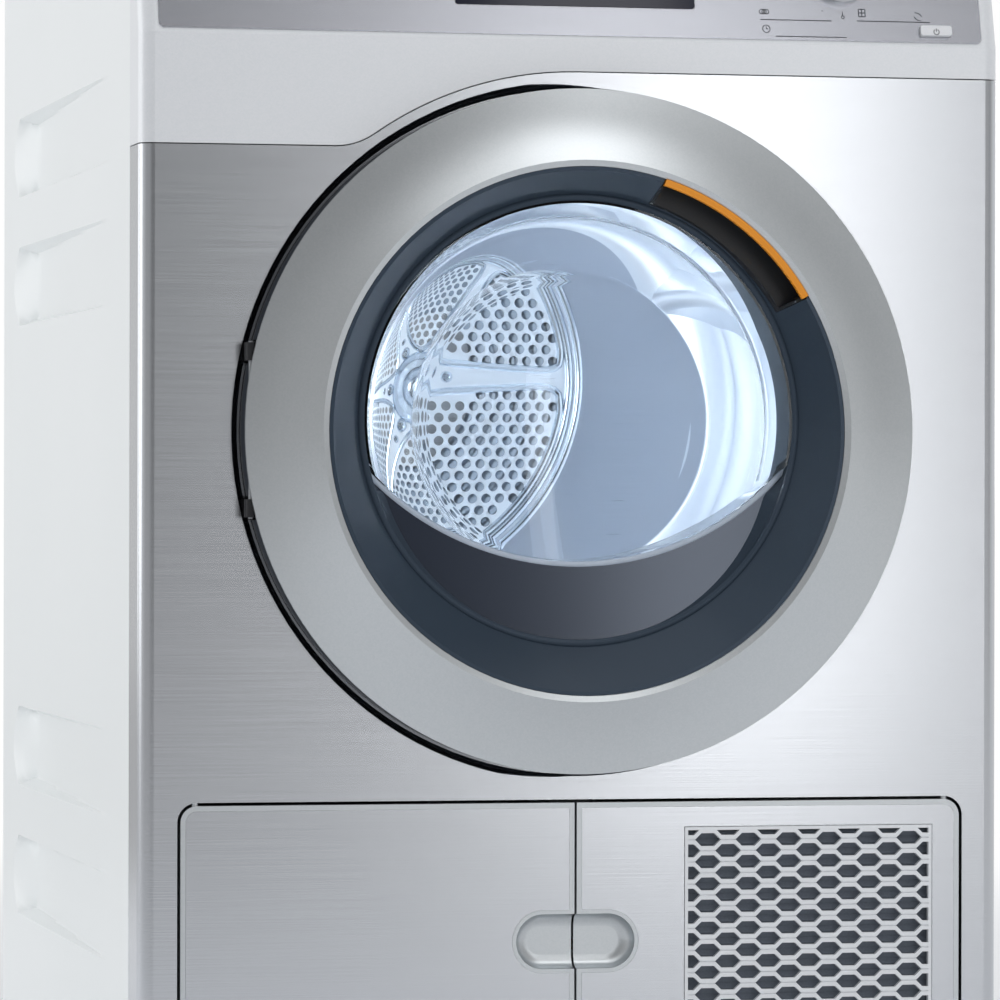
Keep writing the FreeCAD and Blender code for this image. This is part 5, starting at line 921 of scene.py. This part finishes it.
window_glass = cut_by(bowl_solid("window_glass", 0.0), bowl_solid("window_hollow", glass_wall), "DIFFERENCE")
room = [(room_inner, room_front), (room_inner, room_back), (room_outer, room_back), (room_outer, room_front)]
room_rows = turned_rows(apron_middle, room + room[:1], 288)
apron_room = make_piece("apron_room", add_rows(([], []), room_rows), glass)
window_glass = cut_by(window_glass, apron_room, "DIFFERENCE")
rim_levels = (rim_out, rim_back)
inner_rim = turned_rows(window_front, [(glass_radius + rim_gap, level) for level in rim_levels], 180)
outer_rim = turned_rows((0, front_face, door_axis), [(rim_radius, level) for level in rim_levels], 180)
rim = add_rows(([], []), [inner_rim[0], outer_rim[0], outer_rim[1], inner_rim[1], inner_rim[0]])
glass_rim = make_piece("window_glass_rim", rim, glass)
for piece in (window_glass, glass_rim):
    settle(piece, "door")
smooth_faces(window_glass.data, 35)
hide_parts("door_glass")

# Gasket: a soft lip in the surround's slate tone, moulded on, that closes the seam between the glass, the
# apron and the surround.
gasket_wide, gasket_high = 0.0024, 0.0016
gasket_middle = (0.0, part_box("door_glass")[0][1], window_axis)
turns = [math.pi * k / 8 for k in range(9)]
lip = [(glass_radius + gasket_wide * math.cos(t), gasket_high * math.sin(t) - sunk) for t in turns]
gasket = add_rows(([], []), turned_rows(gasket_middle, lip + lip[:1], 180))
settle(make_piece("window_gasket", gasket, slate), "door")


# Apron cove: the slate moulding leads from the window's edge down to the leaning apron, and narrows where the
# glass comes near.
def apron_face(height):
    """Depth of the leaning apron's face at a height."""
    return front_face - apron_out + (height - (window_axis - opening_radius)) * math.tan(apron_lean)


apron_out, opening_radius, apron_lean = 0.0085, 0.152, math.radians(6)
cove_start, cove_span, cove_slope, cove_middle, cove_inner = -14.2, 151.6, 0.8, 0.1498, 0.1492
cove_edge, cove_front, cove_thick = glass_radius - rim_gap, front_face - 0.0099, 0.002
clear_radius = apron_radius + 0.0005
apron_drop = apron_middle[2] - window_axis
cove = []
for step in range(97):
    way = math.radians(cove_start - cove_span * step / 96)
    up = math.sin(way)
    leaning = apron_face(window_axis + cove_middle * up)
    glass_edge = apron_drop * up + math.sqrt((apron_drop * up) ** 2 + clear_radius ** 2 - apron_drop ** 2)
    inner = min(cove_inner, max(cove_edge - cove_slope * (leaning - cove_front), glass_edge))
    back = leaning + cove_thick
    section = (cove_edge, cove_front), (cove_edge, back), (inner, back), (inner, leaning - sunk)
    cove.append(around(window_axis, way, section))
sweep("apron_cove", cove, slate, "door")

# Apron seal: an extruded clear strip along the apron's upper edge, on which the cut wall of the bowl rests.
# Clear soft plastic looks pale and cloudy, in patches of about 10 mm.
seal_clear = finish("clear_soft_seal", "#aab6c6", "#bcc7d5", 0.22, cloud=(0.01, 2))
seal_radius, seal_wide, seal_high, seal_out = 0.1985, 0.0021, 0.0016, 0.0006
seal_reach = 95.2
turns = [2 * math.pi * k / 12 for k in range(12)]
seal = []
for step in range(121):
    way = math.radians(-90 - seal_reach / 2 + seal_reach * step / 120)
    leaning = apron_face(apron_middle[2] + seal_radius * math.sin(way)) + seal_out
    section = [(seal_radius + seal_wide * math.cos(t), leaning - seal_high * math.sin(t)) for t in turns]
    seal.append(around(apron_middle[2], way, section))
sweep("apron_edge_seal", seal, seal_clear, "door")

# Glass clamp: a slate moulding that holds the bowl's side from behind on the latch side. It tapers off
# towards the top.
clamp_start, clamp_end, clamp_taper, clamp_least, clamp_more = -24, 65, 40, 0.003, 0.018
clamp_inner, clamp_outer, clamp_front, clamp_lean = 0.1512, 0.153, front_face - 0.0055, 0.25
clamp = []
for degrees in range(clamp_start, clamp_end + 1):
    share = min(1.0, (clamp_end - degrees) / clamp_taper + thin_end)
    deep = clamp_least + clamp_more * share
    lean = clamp_lean * deep
    back = clamp_front + deep
    section = [(clamp_inner, clamp_front), (clamp_inner - lean, back)]
    section += [(clamp_outer - lean, back), (clamp_outer, clamp_front)]
    clamp.append(around(window_axis, math.radians(degrees), section))
sweep("glass_clamp", clamp, slate, "door")

# Lint filter: a woven polyester mesh in a frame that slides in behind the apron. The weave is drawn 1.5 mm
# wide, coarser than the real one, to show at this size.
mesh, tree, shader, place = start_finish("filter_mesh")
add = partial(add_node, tree)
weave = add("ShaderNodeTexChecker", {"Vector": place, "Scale": 1 / 0.0015})
feed(shader, {"Base Color": shade(tree, weave.outputs["Fac"], "#1d2229", "#353c45"), "Roughness": 0.8})
dress(mesh, "lint_filter")

# Service flaps: silver ABS frames with an inlaid steel skin, a shared finger cup at the seam and, on the
# right, a moulded grille for the cooling air.
dress(satin_ring, "left_flap", "right_flap")
dress(silver, "air_grille")
dress(ground, "left_flap_skin", "right_flap_skin")

# Air grille: one thin moulding, a net of wide six-sided holes in a narrow frame. Where two holes meet tip to
# tip, a fine groove splits the bar in two strands.
grille_low, grille_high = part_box("air_grille")
hole_pitch, hole_rise = 0.0284, 0.015
grille_sizes = {
    "Width": grille_high[0] - grille_low[0], "Sheet": grille_high[1] - grille_low[1],
    "Height": grille_high[2] - grille_low[2], "Border": 0.0022, "Hole Length": 0.0182, "Hole Height": 0.0088,
    "Pitch": hole_pitch, "Groove Width": 0.0008, "Groove Depth": 0.001,
}
tree, size = new_pattern("hexagon_grille", grille_sizes)
add = partial(add_node, tree)
middle = centre_of("air_grille")
outer_box = add("ShaderNodeCombineXYZ", (size["Width"], size["Sheet"], size["Height"]))
border_two = add("ShaderNodeVectorMath", {0: (2, 0, 2), 3: size["Border"]}, operation="SCALE")
inner_box = add("ShaderNodeVectorMath", (outer_box, border_two), operation="SUBTRACT")
plate = add("GeometryNodeMeshCube", {"Size": outer_box})
net = add("GeometryNodeTransform", {"Geometry": plate, "Translation": middle})
window = add("GeometryNodeMeshCube", {"Size": inner_box})
window_home = add("GeometryNodeTransform", {"Geometry": window, "Translation": middle, "Scale": (1, 3, 1)})
half_long = add("ShaderNodeMath", (size["Hole Length"], 0.5), operation="MULTIPLY")
half_high = add("ShaderNodeMath", (size["Hole Height"], 0.5 / math.sqrt(0.75)), operation="MULTIPLY")
hole_shape = add("ShaderNodeCombineXYZ", (half_long, half_high, size["Hole Length"]))
six_sided = add("GeometryNodeMeshCylinder", {"Vertices": 6, "Radius": 1.0, "Depth": 1.0})
hole = add("GeometryNodeTransform", {
    "Geometry": six_sided, "Scale": hole_shape, "Rotation": (math.radians(90), 0, 0)})
bar_long = add("ShaderNodeMath", (size["Pitch"], size["Hole Length"]), operation="SUBTRACT")
groove_deep = add("ShaderNodeMath", (size["Groove Depth"], 2.0), operation="MULTIPLY")
groove_box = add("ShaderNodeCombineXYZ", (bar_long, groove_deep, size["Groove Width"]))
groove = add("GeometryNodeMeshCube", {"Size": groove_box})
half_step = add("ShaderNodeMath", (size["Pitch"], 0.5), operation="MULTIPLY")
beside = add("ShaderNodeCombineXYZ", {"X": half_step})
groove_home = add("GeometryNodeTransform", {"Geometry": groove, "Translation": beside})
for cutter in (hole, groove_home):
    spread = add("GeometryNodeInstanceOnPoints", {"Points": size["Geometry"], "Instance": cutter})
    whole = add("GeometryNodeRealizeInstances", {"Geometry": spread})
    trimmed = add("GeometryNodeMeshBoolean", {
        "Mesh 2": whole}, operation="INTERSECT", solver="MANIFOLD")
    feed(trimmed, {"Mesh 2": window_home})
    net = add("GeometryNodeMeshBoolean", {
        "Mesh 1": net, "Mesh 2": trimmed}, operation="DIFFERENCE", solver="MANIFOLD")
end_pattern(tree, net, silver)
spots = [
    (middle[0] + (column + 0.5 * (row % 2)) * hole_pitch, grille_low[1], middle[2] + row * hole_rise / 2)
    for row in range(-11, 12) for column in range(-4, 5)
]
air_grille = settle(grow("hexagon_grille", tree, grille_sizes, spots), "flap_right")
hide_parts("air_grille")

# Dust screen: a pleated felt behind the grille that keeps lint out of the cooling fan.
# The grey felt is quite dull, with fibres of about 1.5 mm.
screen_felt = finish("pleated_dust_screen", "#6a717b", "#7d848e", 0.9, cloud=(0.0015, 4))
pleat, pleat_near, pleat_far, felt_thick, screen_gap = 0.0075, 0.003, 0.0055, 0.0008, 0.0004
left, right = grille_low[0] + screen_gap, grille_high[0] - screen_gap
bottom, top = grille_low[2] + screen_gap, grille_high[2] - screen_gap
folds = int((grille_high[2] - grille_low[2]) / pleat * 2)
pleats = []
for fold in range(folds + 1):
    z = bottom + (top - bottom) * fold / folds
    deep = grille_high[1] + (pleat_near if fold % 2 else pleat_far)
    back = deep + felt_thick
    pleats.append([(left, deep, z), (right, deep, z), (right, back, z), (left, back, z)])
sweep("pleated_dust_screen", pleats, screen_felt, "flap_right")

# Drum lamp: a small lamp behind the left of the loading port that lights the drum's far side and floor with
# a cool white.
drum_lamp = hang_lamp("drum_lamp", "DISK", 0.1, 2.9, (-0.2, -0.205, 0.56), (0.8, 0.42, -0.3))
drum_lamp.data.color = srgb("#f8fbff")[:3]
